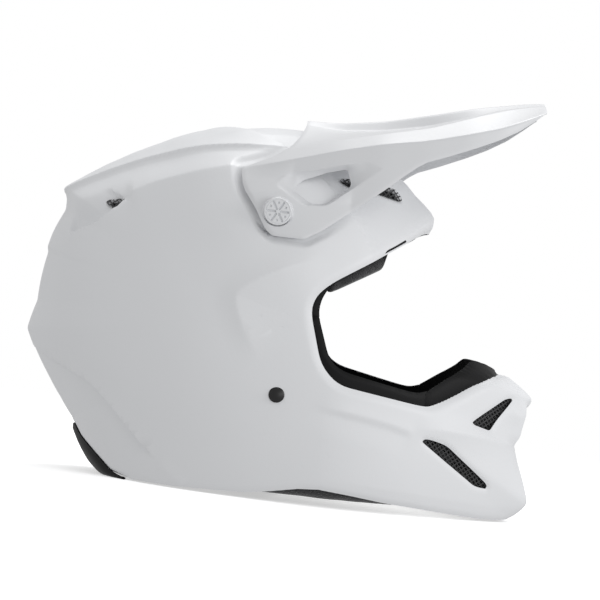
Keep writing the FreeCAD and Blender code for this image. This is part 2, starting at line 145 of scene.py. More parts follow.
def blurred(values, sigma, wrap):
    """Weighted mean of neighbours under a bell curve of sigma samples, along the first axis."""
    reach = int(3 * sigma) + 1
    weights = np.exp(-0.5 * (np.arange(-reach, reach + 1) / sigma) ** 2)
    weights /= weights.sum()
    padding = [(reach, reach)] + [(0, 0)] * (values.ndim - 1)
    padded = np.pad(values, padding, mode="wrap" if wrap else "edge")
    shifted = [padded[k:k + len(values)] * w for k, w in enumerate(weights)]
    return np.sum(shifted, axis=0)


def outline_table(samples, sigma_degrees):
    """Distance from the centre to the outline at evenly spaced angles, blurred over some degrees."""
    offset = OUTLINE - CENTRE
    angle = np.arctan2(offset[:, 1], offset[:, 0])
    order = np.argsort(angle)
    grid = np.linspace(-math.pi, math.pi, samples, endpoint=False)
    radius = np.interp(grid, angle[order], np.hypot(*offset.T)[order], period=2 * math.pi)
    return blurred(radius, sigma_degrees * samples / 360, wrap=True)


SAMPLES = 1440
ANGLES = np.linspace(-math.pi, math.pi, SAMPLES, endpoint=False)
EDGE_RADIUS = outline_table(SAMPLES, 0.3)
CORE_RADIUS = outline_table(SAMPLES, 15.0)


def reach_at(angle, share):
    """Outline radius met at a share of the way out: the blurred outline inside, the true one at the rim."""
    weight = np.clip(share, 0, 1) ** 5
    core = np.interp(angle, ANGLES, CORE_RADIUS, period=2 * math.pi)
    edge = np.interp(angle, ANGLES, EDGE_RADIUS, period=2 * math.pi)
    return core * (1 - weight) + edge * weight


def taper(y):
    """Share of its full breadth that the form keeps at y: it narrows smoothly to the front."""
    return 1 - 0.26 * smooth(0.0, 150.0, -30.0 - y)


def half_breadth(y, z):
    """x of the form at a side-view point: breadth * (1 - share ** roundness) ** 0.5."""
    dy = y - CENTRE[0]
    dz = z - CENTRE[1]
    angle = np.arctan2(dz, dy)
    distance = np.hypot(dy, dz)
    share = distance / reach_at(angle, np.ones_like(distance))
    for _ in range(4):
        share = distance / reach_at(angle, share)
    return HALF_BREADTH * taper(y) * np.sqrt(np.clip(1 - share ** ROUNDNESS, 0, 1))


def form_grid(turns, slices):
    """The closed form as a grid: angle round the side axis against latitude from the right side to the left.

    x is breadth * sin(latitude), and the side-view radius is the outline's times
    cos(latitude) ** (2 / roundness).
    """
    angle = np.linspace(-math.pi, math.pi, turns, endpoint=False)[:, None]
    latitude = np.linspace(-math.pi / 2, math.pi / 2, slices)[None, :]
    share = np.clip(np.cos(latitude), 1e-4, 1) ** (2 / ROUNDNESS) * np.ones_like(angle)
    radius = reach_at(angle * np.ones_like(latitude), share) * share
    y = CENTRE[0] + radius * np.cos(angle)
    z = CENTRE[1] + radius * np.sin(angle)
    x = HALF_BREADTH * np.sin(latitude) * taper(y)
    points = np.stack([x, y, z], axis=-1)
    ahead = np.roll(points, -1, axis=0) - np.roll(points, 1, axis=0)
    across = np.gradient(points, axis=1)
    normals = np.cross(ahead, across)
    length = np.linalg.norm(normals, axis=-1, keepdims=True)
    normals = normals / np.maximum(length, 1e-9)
    normals[:, 0] = (-1, 0, 0)
    normals[:, -1] = (1, 0, 0)
    outward = np.sign(np.sum(normals * (points - [0, CENTRE[0], CENTRE[1]])))
    normals[:, 1:-1] *= outward
    row = np.arange(turns)[:, None] * slices
    after = (np.arange(turns)[:, None] + 1) % turns * slices
    column = np.arange(slices - 1)[None, :]
    a, b, c, d = (v.ravel() for v in (row + column, after + column, after + column + 1, row + column + 1))
    tris = np.concatenate([np.stack([a, b, c], 1), np.stack([a, c, d], 1)])
    if outward < 0:
        tris = tris[:, ::-1]
    return points.reshape(-1, 3), normals.reshape(-1, 3), tris


def to_segments(points, line):
    """Distance from each point to a chain of segments, with the nearest segment's number and place."""
    best = np.full(len(points), np.inf)
    number = np.zeros(len(points), int)
    place = np.zeros(len(points))
    for k in range(len(line) - 1):
        start = line[k]
        run = line[k + 1] - start
        t = np.clip(((points - start) @ run) / max(run @ run, 1e-9), 0, 1)
        distance = np.linalg.norm(points - start - t[:, None] * run, axis=1)
        closer = distance < best
        best = np.where(closer, distance, best)
        number = np.where(closer, k, number)
        place = np.where(closer, t, place)
    return best, number, place


def inside(side, polygon):
    """Signed side-view distance to a closed outline, positive inside it."""
    ring = np.vstack([polygon, polygon[:1]])
    distance, _, _ = to_segments(side, ring)
    y, z = side.T
    odd = np.zeros(len(side), bool)
    for (y0, z0), (y1, z1) in zip(ring[:-1], ring[1:]):
        spans = (z0 > z) != (z1 > z)
        crossing = (y1 - y0) * (z - z0) / (z1 - z0 if z1 != z0 else 1e-9) + y0
        odd ^= spans & (y < crossing)
    return np.where(odd, distance, -distance)


def lifted(line):
    """A side-view line laid on the form's surface, as (x, y, z) with x positive."""
    line = rounded(line, 2)
    return np.column_stack([half_breadth(line[:, 0], line[:, 1]), line])


def beside(points, line):
    """Distance in space to a line laid on the form, positive to its left, and the share of its length."""
    route = lifted(line)
    near = np.column_stack([np.abs(points[:, 0]), points[:, 1:]])
    distance, number, place = to_segments(near, route)
    start = route[number]
    run = route[number + 1] - start
    cross = run[:, 1] * (near[:, 2] - start[:, 2]) - run[:, 2] * (near[:, 1] - start[:, 1])
    lengths = np.linalg.norm(np.diff(route, axis=0), axis=1)
    before = np.concatenate([[0], np.cumsum(lengths)])
    share = (before[number] + place * lengths[number]) / before[-1]
    return np.where(cross >= 0, distance, -distance), share


def ends(share, start, finish):
    """1 along a line, fading to 0 over the first and last shares of its length; 0 means no fade."""
    fade = np.ones_like(share)
    if start:
        fade = fade * smooth(0, start, share)
    if finish:
        fade = fade * smooth(0, finish, 1 - share)
    return fade


# Side outline of the visor, from its back lip down the arm and along its lower edge to the tip.
VISOR_EDGE = [
    (3.5, 300), (3.5, 257), (6, 249), (11.5, 240), (22.5, 231), (43.5, 220),
    (41.5, 210), (39, 205), (30.5, 194), (22.5, 181), (17.5, 177), (-4.5, 177), (-15.5, 184),
    (-53.5, 216), (-65.5, 227), (-73.5, 234), (-80, 238.5), (-93.5, 244), (-113.5, 253),
    (-127.5, 260), (-140.5, 268), (-151.5, 277), (-159, 284), (-159, 300),
]

# Lines pressed into the shell: crests and steps, as side-view runs.
TOP_RIDGE = [
    (167, 191.5), (149.9, 201.1), (115, 217.7), (89, 226.8), (67.3, 232.2), (45, 235.5), (23, 238), (5, 240),
]
CROWN_CREST = [(65.9, 240.6), (46.8, 246.7), (32, 248.5), (9.5, 250.5), (-11.8, 249.4)]
SHOULDER = [(119.5, 190.8), (105.3, 199.2), (94.1, 204.3), (70, 212), (45.5, 218.8), (20, 226)]
SCOOP_LIP = [(119.5, 190.8), (133.7, 172.5), (157.7, 160.6)]
CHEEK_FACET = [(13.5, 90), (29.5, 114), (37.5, 132.7), (32.5, 140.7), (12.2, 153.4), (-21.2, 167.7)]
TEMPLE_CREST = [(66, 173.9), (55.6, 173), (18, 176.9), (-16.2, 184.8)]
REAR_STEP = [(166, 79), (153.9, 74.6), (137.6, 68.2), (124.5, 62.5), (77, 17.5)]
BASE_CREASE = [(77, 17.5), (56.4, 3)]
CHEEK_LEDGE = [(-20, 69), (-27.5, 68.5), (-67.2, 64.2), (-95.5, 57.3)]
CHIN_CREST = [(-90, 59), (-96.1, 59.7), (-119.7, 60.6), (-149.2, 56.9), (-167.5, 52.0)]
LOWER_BEVEL = [(-10, 19), (-26.5, 19), (-78.5, 17), (-157.5, 11), (-178, 10)]
CHIN_BEVEL = [(-160, 103.5), (-154.5, 100), (-134.5, 87), (-111.5, 70), (-98, 62)]


def crest(points, line, tall, fades, left, right):
    """A raised line, fading over a reach on its left and another on its right."""
    d, share = beside(points, line)
    return tall * ends(share, *fades) * np.where(d > 0, hump(d, left), hump(d, right))


def ledge(height, points, line, fades, depth, lip, ramp, back, reach):
    """A sunk field on a line's left, down a ramp and back up to the form, with a lip along the line."""
    d, share = beside(points, line)
    fade = ends(share, *fades)
    height = height - depth * fade * (d > 0) * smooth(0, ramp, d) * (1 - smooth(6, back, d))
    return height + lip * fade * np.where(d < 0, hump(d, reach), 1 - smooth(0, ramp, d))


def relief(points):
    """Height of the shell's pressed detail over the plain form.

    A crest is height * (1 - distance / reach) ** 2 on each side of its line; a step is a quick drop on one
    side that fades back to the form; a rim curls inward as the square of the nearness to a cut edge.
    """
    side = points[:, 1:]
    height = np.zeros(len(points))

    d, share = beside(points, TOP_RIDGE)
    keep = ends(share, 0, 0.22)
    below = np.clip(d, 0, None)
    above = np.clip(-d, 0, None)
    height -= 1.6 * keep * smooth(0, 7, below) * (1 - smooth(9, 34, below)) * (d > 0)
    height += 1.4 * keep * hump(above, 16) * (d <= 0)
    height += 1.4 * keep * (1 - smooth(0, 2.2, below)) * (d > 0)

    height += crest(points, CROWN_CREST, 0.8, (0.25, 0.3), 13, 13)
    height += crest(points, SHOULDER, 3.0, (0.08, 0.3), 30, 26)
    height = ledge(height, points, SCOOP_LIP, (0.05, 0.12), 3.8, 0.9, 4.0, 26, 16)
    height += crest(points, CHEEK_FACET, 2.3, (0.3, 0.3), 40, 16)
    height += crest(points, TEMPLE_CREST, 0.7, (0.3, 0.2), 15, 15)
    height = ledge(height, points, REAR_STEP, (0.0, 0.1), 2.5, 0.8, 2.6, 46, 14)
    height += crest(points, BASE_CREASE, 0.8, (0.3, 0.1), 12, 12)

    d, share = beside(points, CHEEK_LEDGE)
    ledge_fade = ends(share, 0.35, 0.12)
    sink = 1 - 1.7 * smooth(0, 6, d) * (1 - smooth(6, 20, d)) - smooth(6, 20, d)
    height += ledge_fade * np.where(d < 0, hump(d, 12), sink)

    height += crest(points, CHIN_CREST, 2.8, (0.25, 0.15), 17, 17)

    d, share = beside(points, LOWER_BEVEL)
    height -= 0.16 * ends(share, 0.3, 0.0) * np.clip(d, 0, 16)

    d, share = beside(points, CHIN_BEVEL)
    height -= 0.2 * ends(share, 0.0, 0.3) * np.clip(d, 0, 16)

    behind = np.clip(-inside(side, eased(VISOR_EDGE, 2)), 0, None)
    zone = smooth(-40, -5, side[:, 0]) * (1 - smooth(224, 244, side[:, 1]))
    height += 2.4 * zone * smooth(2.0, 7.5, behind) * (1 - smooth(12, 62, behind))

    height -= 2.4 * hump(np.clip(-inside(side, eased(PORT, 9)), 0, None), 6)
    height -= 1.6 * hump(np.clip(-inside(side, np.array(UNDER_BASE)), 0, None), 5)
    for outline in SIDE_VENTS.values():
        height -= 1.3 * hump(np.clip(-inside(side, eased(outline, 2)), 0, None), 3.0)
    height -= 1.2 * hump(np.clip(-mouth_opening(points), 0, None), 2.0)
    level = smooth(50, 64, side[:, 1]) * (1 - smooth(74, 88, side[:, 1])) * (side[:, 0] < -130)
    height += 5.5 * level * np.exp(-((np.abs(points[:, 0]) - 27) / 9) ** 2)
    height -= 4.5 * level * (1 - smooth(12, 27, np.abs(points[:, 0])))
    return height


def mouth_opening(points):
    """Distance into the opening in front of the mouth, a rounded rectangle seen from the front."""
    middle = (MOUTH_LOW + MOUTH_HIGH) / 2
    across = np.abs(points[:, 0]) - (MOUTH_HALF - 6)
    upward = np.abs(points[:, 2] - middle) - ((MOUTH_HIGH - MOUTH_LOW) / 2 - 6)
    corner = np.hypot(np.clip(across, 0, None), np.clip(upward, 0, None))
    distance = 6 - corner - np.minimum(np.maximum(across, upward), 0)
    return np.where(points[:, 1] < -130, distance, -FAR)


def seated(points):
    """Sides pressed flat round the visor pivot: x is SHELL_SEAT within 15 mm of it."""
    radius = np.linalg.norm(points[:, 1:] - PIVOT, axis=1)
    land = 1 - smooth(15, 16.5, radius)
    x = points[:, 0]
    return np.column_stack([x + land * (np.sign(x) * np.minimum(np.abs(x), SHELL_SEAT) - x), points[:, 1:]])


# ---- mesh tools ----

def clip(points, tris, field):
    """Keeps the part of a triangle mesh where the field is positive.

    New corners lie where the field, taken as straight along an edge, is zero.
    """
    positive = field > 0
    count = positive[tris].sum(axis=1)
    pieces = [tris[count == 3]]
    edges = []
    made = 0
    first_new = len(points)
    for lone_state, wanted in ((True, 1), (False, 2)):
        part = tris[count == wanted]
        turn = (positive[part] == lone_state).argmax(axis=1)
        part = part[np.arange(len(part))[:, None], (turn[:, None] + np.arange(3)) % 3]
        a, b, c = part.T
        ab = first_new + made + np.arange(len(part))
        ac = ab + len(part)
        made += 2 * len(part)
        edges.append(np.stack([a, b], 1))
        edges.append(np.stack([a, c], 1))
        if lone_state:
            pieces.append(np.stack([a, ab, ac], 1))
        else:
            pieces.append(np.stack([ab, b, c], 1))
            pieces.append(np.stack([ab, c, ac], 1))
    edges = np.sort(np.concatenate(edges), axis=1)
    unique, inverse = np.unique(edges, axis=0, return_inverse=True)
    start, finish = unique.T
    share = np.clip(field[start] / (field[start] - field[finish]), 0.02, 0.98)[:, None]
    cut = points[start] * (1 - share) + points[finish] * share
    all_tris = np.concatenate(pieces)
    new = all_tris >= first_new
    all_tris[new] = first_new + inverse.ravel()[all_tris[new] - first_new]
    used, renumbered = np.unique(all_tris, return_inverse=True)
    return np.vstack([points, cut])[used], renumbered.reshape(-1, 3)


def new_object(name, mesh):
    piece = bpy.data.objects.new(name, mesh)
    bpy.context.scene.collection.objects.link(piece)
    return piece


def mesh_from(name, points, faces):
    """A mesh from millimetre points and an array of faces with equal corner counts."""
    corners = faces.shape[1]
    mesh = bpy.data.meshes.new(name)
    mesh.vertices.add(len(points))
    mesh.vertices.foreach_set("co", np.ascontiguousarray(points * MM, np.float32).ravel())
    mesh.loops.add(faces.size)
    mesh.loops.foreach_set("vertex_index", faces.astype(np.int32).ravel())
    mesh.polygons.add(len(faces))
    mesh.polygons.foreach_set("loop_start", np.arange(len(faces), dtype=np.int32) * corners)
    mesh.polygons.foreach_set("loop_total", np.full(len(faces), corners, np.int32))
    mesh.update(calc_edges=True)
    mesh.validate()
    return mesh


def merged(mesh, distance=2e-5):
    shape = bmesh.new()
    shape.from_mesh(mesh)
    bmesh.ops.remove_doubles(shape, verts=shape.verts, dist=distance)
    bmesh.ops.dissolve_degenerate(shape, dist=1e-6, edges=shape.edges)
    shape.to_mesh(mesh)
    shape.free()


def closed(mesh, sides):
    """Caps a mesh's open ends and turns its faces outward."""
    shape = bmesh.new()
    shape.from_mesh(mesh)
    bmesh.ops.holes_fill(shape, edges=[e for e in shape.edges if e.is_boundary], sides=sides)
    bmesh.ops.recalc_face_normals(shape, faces=shape.faces)
    shape.to_mesh(mesh)
    shape.free()


def baked(piece):
    """Replaces a piece's mesh by its modified one and clears its modifiers."""
    graph = bpy.context.evaluated_depsgraph_get()
    graph.update()
    mesh = bpy.data.meshes.new_from_object(piece.evaluated_get(graph))
    piece.modifiers.clear()
    old = piece.data
    piece.data = mesh
    mesh.name = piece.name
    bpy.data.meshes.remove(old)


def shaded(piece, degrees=38):
    mesh = piece.data
    mesh.polygons.foreach_set("use_smooth", np.ones(len(mesh.polygons), bool))
    mesh.set_sharp_from_angle(angle=math.radians(degrees))
    mesh.update()


def walled(name, points, tris, wall, most=90000, degrees=38):
    """A piece from an open outer surface: thinned to at most so many triangles, then walled inward."""
    mesh = mesh_from(name, points, tris)
    merged(mesh)
    piece = new_object(name, mesh)
    count = len(mesh.polygons)
    if count > most:
        thin = piece.modifiers.new("thin", "DECIMATE")
        thin.ratio = most / count
    wall_modifier = piece.modifiers.new("wall", "SOLIDIFY")
    wall_modifier.thickness = wall * MM
    wall_modifier.offset = -1
    wall_modifier.use_even_offset = True
    wall_modifier.thickness_clamp = 1.0
    baked(piece)
    shaded(piece, degrees)
    return piece


def tube(path, width, height, rings):
    """Grid of a rounded-rectangle profile carried along a path of (x, z) points, its width along y.

    The profile is a superellipse of power 6: corner = sign(cos) * |cos| ** (1 / 3), the same for sine.
    """
    route = np.asarray(path, float)
    length = np.concatenate([[0], np.cumsum(np.linalg.norm(np.diff(route, axis=0), axis=1))])
    run = np.gradient(route, axis=0)
    run /= np.linalg.norm(run, axis=1, keepdims=True)
    side = np.column_stack([-run[:, 1], run[:, 0]])
    turn = np.linspace(0, 2 * math.pi, rings, endpoint=False)
    across = np.sign(np.cos(turn)) * np.abs(np.cos(turn)) ** (1 / 3) * width / 2
    upward = np.sign(np.sin(turn)) * np.abs(np.sin(turn)) ** (1 / 3) * height / 2
    x = route[:, :1] + side[:, :1] * upward
    z = route[:, 1:] + side[:, 1:] * upward
    y = np.broadcast_to(across, x.shape)
    return np.stack([x, y, z], axis=-1), length, turn


# ---- shader expressions ----

class Channel:
    """A shader socket that adds Math nodes when it is used in a Python expression."""

    def __init__(self, finish, socket):
        self.finish = finish
        self.socket = socket

    def math(self, operation, first, second=None):
        inputs = {0: first} if second is None else {0: first, 1: second}
        return self.finish.node("ShaderNodeMath", {"operation": operation}, inputs)

    def __add__(self, other):
        return self.math("ADD", self, other)

    def __radd__(self, other):
        return self.math("ADD", other, self)

    def __sub__(self, other):
        return self.math("SUBTRACT", self, other)

    def __rsub__(self, other):
        return self.math("SUBTRACT", other, self)

    def __mul__(self, other):
        return self.math("MULTIPLY", self, other)

    def __pow__(self, power):
        return self.math("POWER", self, power)

    def sine(self):
        return self.math("SINE", self)

    def size(self):
        return self.math("ABSOLUTE", self)

    def lower(self, other):
        return self.math("MINIMUM", self, other)

    def between(self, low, high):
        """0 below low, 1 above high, with level ends."""
        settings = {"interpolation_type": "SMOOTHSTEP"}
        return self.finish.node("ShaderNodeMapRange", settings, {0: self, 1: low, 2: high})


class Finish:
    """A procedural material, built node by node."""

    def __init__(self, name):
        self.material = bpy.data.materials.new(name)
        self.material.use_nodes = True
        self.tree = self.material.node_tree
        self.tree.nodes.clear()
        self.output = self.tree.nodes.new("ShaderNodeOutputMaterial")
        self.shader = self.tree.nodes.new("ShaderNodeBsdfPrincipled")
        self.tree.links.new(self.shader.outputs[0], self.output.inputs[0])
        self.bumps = None

    def node(self, kind, settings=None, inputs=None, output=0):
        """Adds a node: its settings first, then the values or links of its sockets."""
        made = self.tree.nodes.new(kind)
        for key, value in (settings or {}).items():
            setattr(made, key, value)
        for key, value in (inputs or {}).items():
            self.feed(made.inputs[key], value)
        return Channel(self, made.outputs[output])

    def feed(self, socket, value):
        if isinstance(value, Channel):
            self.tree.links.new(value.socket, socket)
        else:
            socket.default_value = value

    def place(self):
        return self.node("ShaderNodeTexCoord", output="Object")

    def uv(self):
        return self.node("ShaderNodeUVMap", {"uv_map": "weave"})

    def parts(self, vector):
        split = self.node("ShaderNodeSeparateXYZ", {}, {0: vector}).socket.node
        return [Channel(self, split.outputs[k]) for k in range(3)]

    def noise(self, scale, detail=2.0, roughness=0.5, vector=None):
        inputs = {"Vector": vector or self.place(), "Scale": scale, "Detail": detail, "Roughness": roughness}
        return self.node("ShaderNodeTexNoise", {}, inputs)

    def cells(self, scale, feature="F1", vector=None):
        inputs = {"Vector": vector or self.place(), "Scale": scale}
        return self.node("ShaderNodeTexVoronoi", {"feature": feature}, inputs)

    def stretched(self, scale, turn=(0, 0, 0)):
        return self.node("ShaderNodeMapping", {}, {"Vector": self.place(), "Scale": scale, "Rotation": turn})

    def blend(self, factor, first, second):
        """Mixes two colours by a factor."""
        inputs = {0: factor, 6: (*first, 1) if isinstance(first, tuple) else first,
                  7: (*second, 1) if isinstance(second, tuple) else second}
        return self.node("ShaderNodeMix", {"data_type": "RGBA"}, inputs, output=2)

    def bump(self, height, depth):
        """Adds relief of a height channel times a depth in metres, over any earlier relief."""
        inputs = {"Strength": 1.0, "Distance": depth, "Height": height}
        if self.bumps:
            inputs["Normal"] = self.bumps
        self.bumps = self.node("ShaderNodeBump", {}, inputs)
        self.feed(self.shader.inputs["Normal"], self.bumps)

    def surface(self, **values):
        """Sets the shader's sockets; underscores in the names stand for spaces."""
        for key, value in values.items():
            if isinstance(value, tuple) and len(value) == 3:
                value = (*value, 1)
            self.feed(self.shader.inputs[key.replace("_", " ")], value)
        return self.material


def matte_paint(name, colour, roughness):
    """Matte lacquer: fine orange peel over a flat coat, with a slight drift of tone and gloss."""
    finish = Finish(name)
    drift = finish.noise(9, 3)
    peel = finish.noise(420, 2)
    grain = finish.noise(2600, 1)
    tone = finish.blend(drift.between(0.3, 0.7), tuple(c * 0.985 for c in colour), colour)
    finish.bump(peel, 0.00004)
    finish.bump(grain, 0.000012)
    return finish.surface(Base_Color=tone, Roughness=roughness + (drift - 0.5) * 0.08 + (grain - 0.5) * 0.06,
                          Specular_IOR_Level=0.35)


def moulded(name, colour, roughness, grain_size=1500, depth=0.00003):
    """Moulded plastic or rubber: a fine pebbled grain, with tone and gloss drifting at random."""
    finish = Finish(name)
    pebble = finish.cells(grain_size)
    drift = finish.noise(30, 3)
    finish.bump(pebble, depth)
    dark, pale = tuple(c * 0.8 for c in colour), tuple(c * 1.15 for c in colour)
    shade = finish.blend(drift.between(0.25, 0.75), dark, pale)
    return finish.surface(Base_Color=shade, Roughness=roughness + (drift - 0.5) * 0.12,
                          Specular_IOR_Level=0.16)


def bead_foam(name, colour):
    """Moulded bead foam: 3 mm beads pressed flat against each other, with dark joints between them."""
    finish = Finish(name)
    joint = finish.cells(330, "DISTANCE_TO_EDGE")
    bead = joint.between(0.0, 0.09)
    tone = finish.noise(60, 2)
    shade = finish.blend(bead, tuple(c * 0.45 for c in colour), colour)
    finish.bump(bead, 0.00025)
    return finish.surface(Base_Color=shade, Roughness=0.6 + (tone - 0.5) * 0.2)


def knit(name, colour):
    """Spacer knit: rows of 1.5 mm openings between matte yarns with a fine fuzz, the openings darkened as
    painted shade.
    """
    finish = Finish(name)
    hole = finish.cells(640)
    yarn = hole.between(0.18, 0.5)
    fuzz = finish.noise(4000, 2)
    patch = finish.noise(22, 3)
    # Painted shade: the openings between the yarns, sunk by the bump, are coloured darker than the yarns.
    shade = finish.blend(yarn, tuple(c * 0.3 for c in colour), colour)
    lit = finish.blend(patch.between(0.3, 0.7) * 0.35, shade, tuple(min(c * 2.0, 1) for c in colour))
    finish.bump(yarn, 0.00035)
    finish.bump(fuzz, 0.00006)
    return finish.surface(Base_Color=lit, Roughness=0.86 - yarn * 0.08, Sheen_Weight=0.35,
                          Sheen_Roughness=0.5)


def webbing_weave(name, colour):
    """Woven webbing: a herringbone of 1.7 mm ribs along the strap, flatter at its bound edges, with painted
    shade in the hollows between the ribs and a painted highlight on their crests.
    """
    finish = Finish(name)
    across, along, _ = finish.parts(finish.uv())
    breadth = across * 24.0
    zigzag = breadth.math("PINGPONG", breadth, 3.0) * 0.55
    rib = ((along * 1000 + zigzag) * (2 * math.pi / 1.7)).sine() * 0.5 + 0.5
    column = (across * (24 * 2 * math.pi / 3.0)).sine().size()
    height = rib * 0.7 + column * 0.3
    edge = (across - 0.5).size().between(0.44, 0.47)
    # Painted shade and highlight: the colour follows the rib height, darker in the hollows between the ribs
    # and paler on their crests.
    shade = finish.blend(height, tuple(c * 0.35 for c in colour), tuple(c * 1.3 for c in colour))
    finish.bump(height * (1 - edge * 0.6), 0.0003)
    fuzz = finish.noise(3500, 2)
    finish.bump(fuzz, 0.00005)
    return finish.surface(Base_Color=shade, Roughness=0.8 - height * 0.1, Sheen_Weight=0.2)


def brushed(name, colour, roughness, metallic=1.0):
    """Drawn metal: long fine scratches that spread the highlight, with a few duller spots."""
    finish = Finish(name)
    scratch = finish.noise(900, 2, vector=finish.stretched((1, 12, 1)))
    spot = finish.noise(120, 3)
    finish.bump(scratch, 0.00002)
    shade = finish.blend(spot.between(0.35, 0.7), tuple(c * 0.82 for c in colour), colour)
    return finish.surface(Base_Color=shade, Metallic=metallic,
                          Roughness=roughness + scratch * 0.15 + (spot - 0.5) * 0.15)


def strand_mesh(name, colour, pitch):
    """Open mesh: two sets of strands crossing on the slant, with clear openings between them."""
    finish = Finish(name)
    turned = finish.stretched((1, 1, 1), (math.radians(38), 0, 0))
    _, y, z = finish.parts(turned)
    first = (y * (math.pi / pitch)).sine().size()
    second = (z * (math.pi / (pitch * 1.25))).sine().size()
    strand = (1 - first.lower(second)).between(0.45, 0.62)
    shade = finish.blend(strand, tuple(c * 0.15 for c in colour), colour)
    finish.bump(strand, 0.0004)
    return finish.surface(Base_Color=shade, Roughness=0.42 + (1 - strand) * 0.3, Alpha=strand * 0.97 + 0.03)


def floor_paper(name, colour):
    """Pale studio paper whose edge fades away, so that no horizon shows."""
    finish = Finish(name)
    x, y, _ = finish.parts(finish.place())
    distance = (x * x + y * y) ** 0.5
    fibre = finish.noise(300, 3)
    finish.bump(fibre, 0.00002)
    tone = finish.blend(fibre, tuple(c * 0.995 for c in colour), colour)
    return finish.surface(Base_Color=tone, Roughness=0.9, Specular_IOR_Level=0.1,
                          Emission_Color=(1, 1, 1), Emission_Strength=0.5,
                          Alpha=1 - distance.between(0.45, 1.5))


def colours():
    return bpy.context.scene.helmet_colours


# The visor and the screw caps are painted a little darker than their set colour.
VISOR_SHADE = 0.9
CAP_SHADE = 0.97
MADE = {}


def finishes():
    """The named finishes, each made once."""
    if MADE:
        return MADE
    tone = colours()
    MADE.update({
        "shell_white": matte_paint("lacquer_shell", tuple(tone.shell), 0.46),
        "visor_white": matte_paint("lacquer_visor", tuple(c * VISOR_SHADE for c in tone.visor), 0.42),
        "white_cap": matte_paint("lacquer_cap", tuple(c * CAP_SHADE for c in tone.visor), 0.38),
        "black_rubber": moulded("soft_rubber", tuple(tone.rubber), 0.5),
        "black_plastic": moulded("snap_plastic", (0.022, 0.022, 0.024), 0.38, 2200, 0.00002),
        "impact_foam": bead_foam("bead_foam", (0.055, 0.056, 0.06)),
        "liner_fabric": knit("spacer_knit", tuple(tone.fabric)),
        "strap_webbing": webbing_weave("woven_webbing", (0.02, 0.02, 0.022)),
        "steel": brushed("drawn_steel", (0.62, 0.62, 0.64), 0.26),
        "brass_insert": brushed("turned_brass", (0.72, 0.52, 0.2), 0.3),
        "black_steel": brushed("blackened_steel", (0.004, 0.004, 0.0045), 0.36, 0.0),
        "vent_mesh": strand_mesh("woven_wire", (0.028, 0.028, 0.03), 0.0022),
    })
    return MADE


def dress(piece, finish_name):
    piece.data.materials.clear()
    piece.data.materials.append(finishes()[finish_name])


def carry_over(node, finish_name):
    """Gives a CAD node that keeps its own shape its finish."""
    for slot in NODES[node].material_slots:
        slot.link = "OBJECT"
        slot.material = finishes()[finish_name]


def finish_piece(piece, body, slot_name, *nodes):
    dress(piece, slot_name)
    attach(piece, body)
    if nodes:
        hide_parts(*nodes)


# ---- the visor ----

# Half cross-sections of the visor's outer face: (y, [(x, z), ...]) from the side crease to the top's middle.
VISOR_FOLDS = [
    (56, [(92.5, 216), (84, 224), (60, 240), (36, 254), (29, 258), (0, 260)]),
    (20, [(96.5, 226.5), (86, 233), (62, 246), (36, 257), (29, 260.5), (0, 262)]),
    (0, [(97.5, 232.5), (84, 241), (60, 249), (35, 256.8), (29, 260), (0, 261)]),
    (-20, [(98, 239), (84, 247), (60, 252), (36, 255.5), (29, 261), (0, 262)]),
    (-50, [(97.5, 247), (83, 255), (60, 257.5), (36, 259), (28, 266), (0, 267)]),
    (-80, [(94, 253), (78, 262.5), (58, 264.5), (35, 265.5), (27, 274), (0, 275)]),
    (-110, [(88, 262), (64, 274.5), (50, 275.5), (34, 276), (25, 282.5), (0, 283.5)]),
    (-130, [(79, 269), (48, 282.3), (42, 283), (32, 283.4), (22, 287), (0, 288)]),
    (-148, [(66, 278), (36, 287.5), (30, 288), (24, 288.6), (16, 291), (0, 292)]),
    (-162, [(50, 286), (26, 290.5), (22, 291), (18, 291.5), (11, 293.0), (0, 293.4)]),
]
WINDOW = [(2.5, 219), (-27.5, 228), (-31.5, 217), (-16.5, 205), (-6.5, 204), (7.5, 212)]
WINDOW_RECESS = [(19.5, 211), (12.5, 219), (-39.5, 234), (-51.5, 231), (-16.5, 201), (-1.5, 199)]
STAND_OFF = 6.2
ARM_FOOT = 166
ARM_START = 58


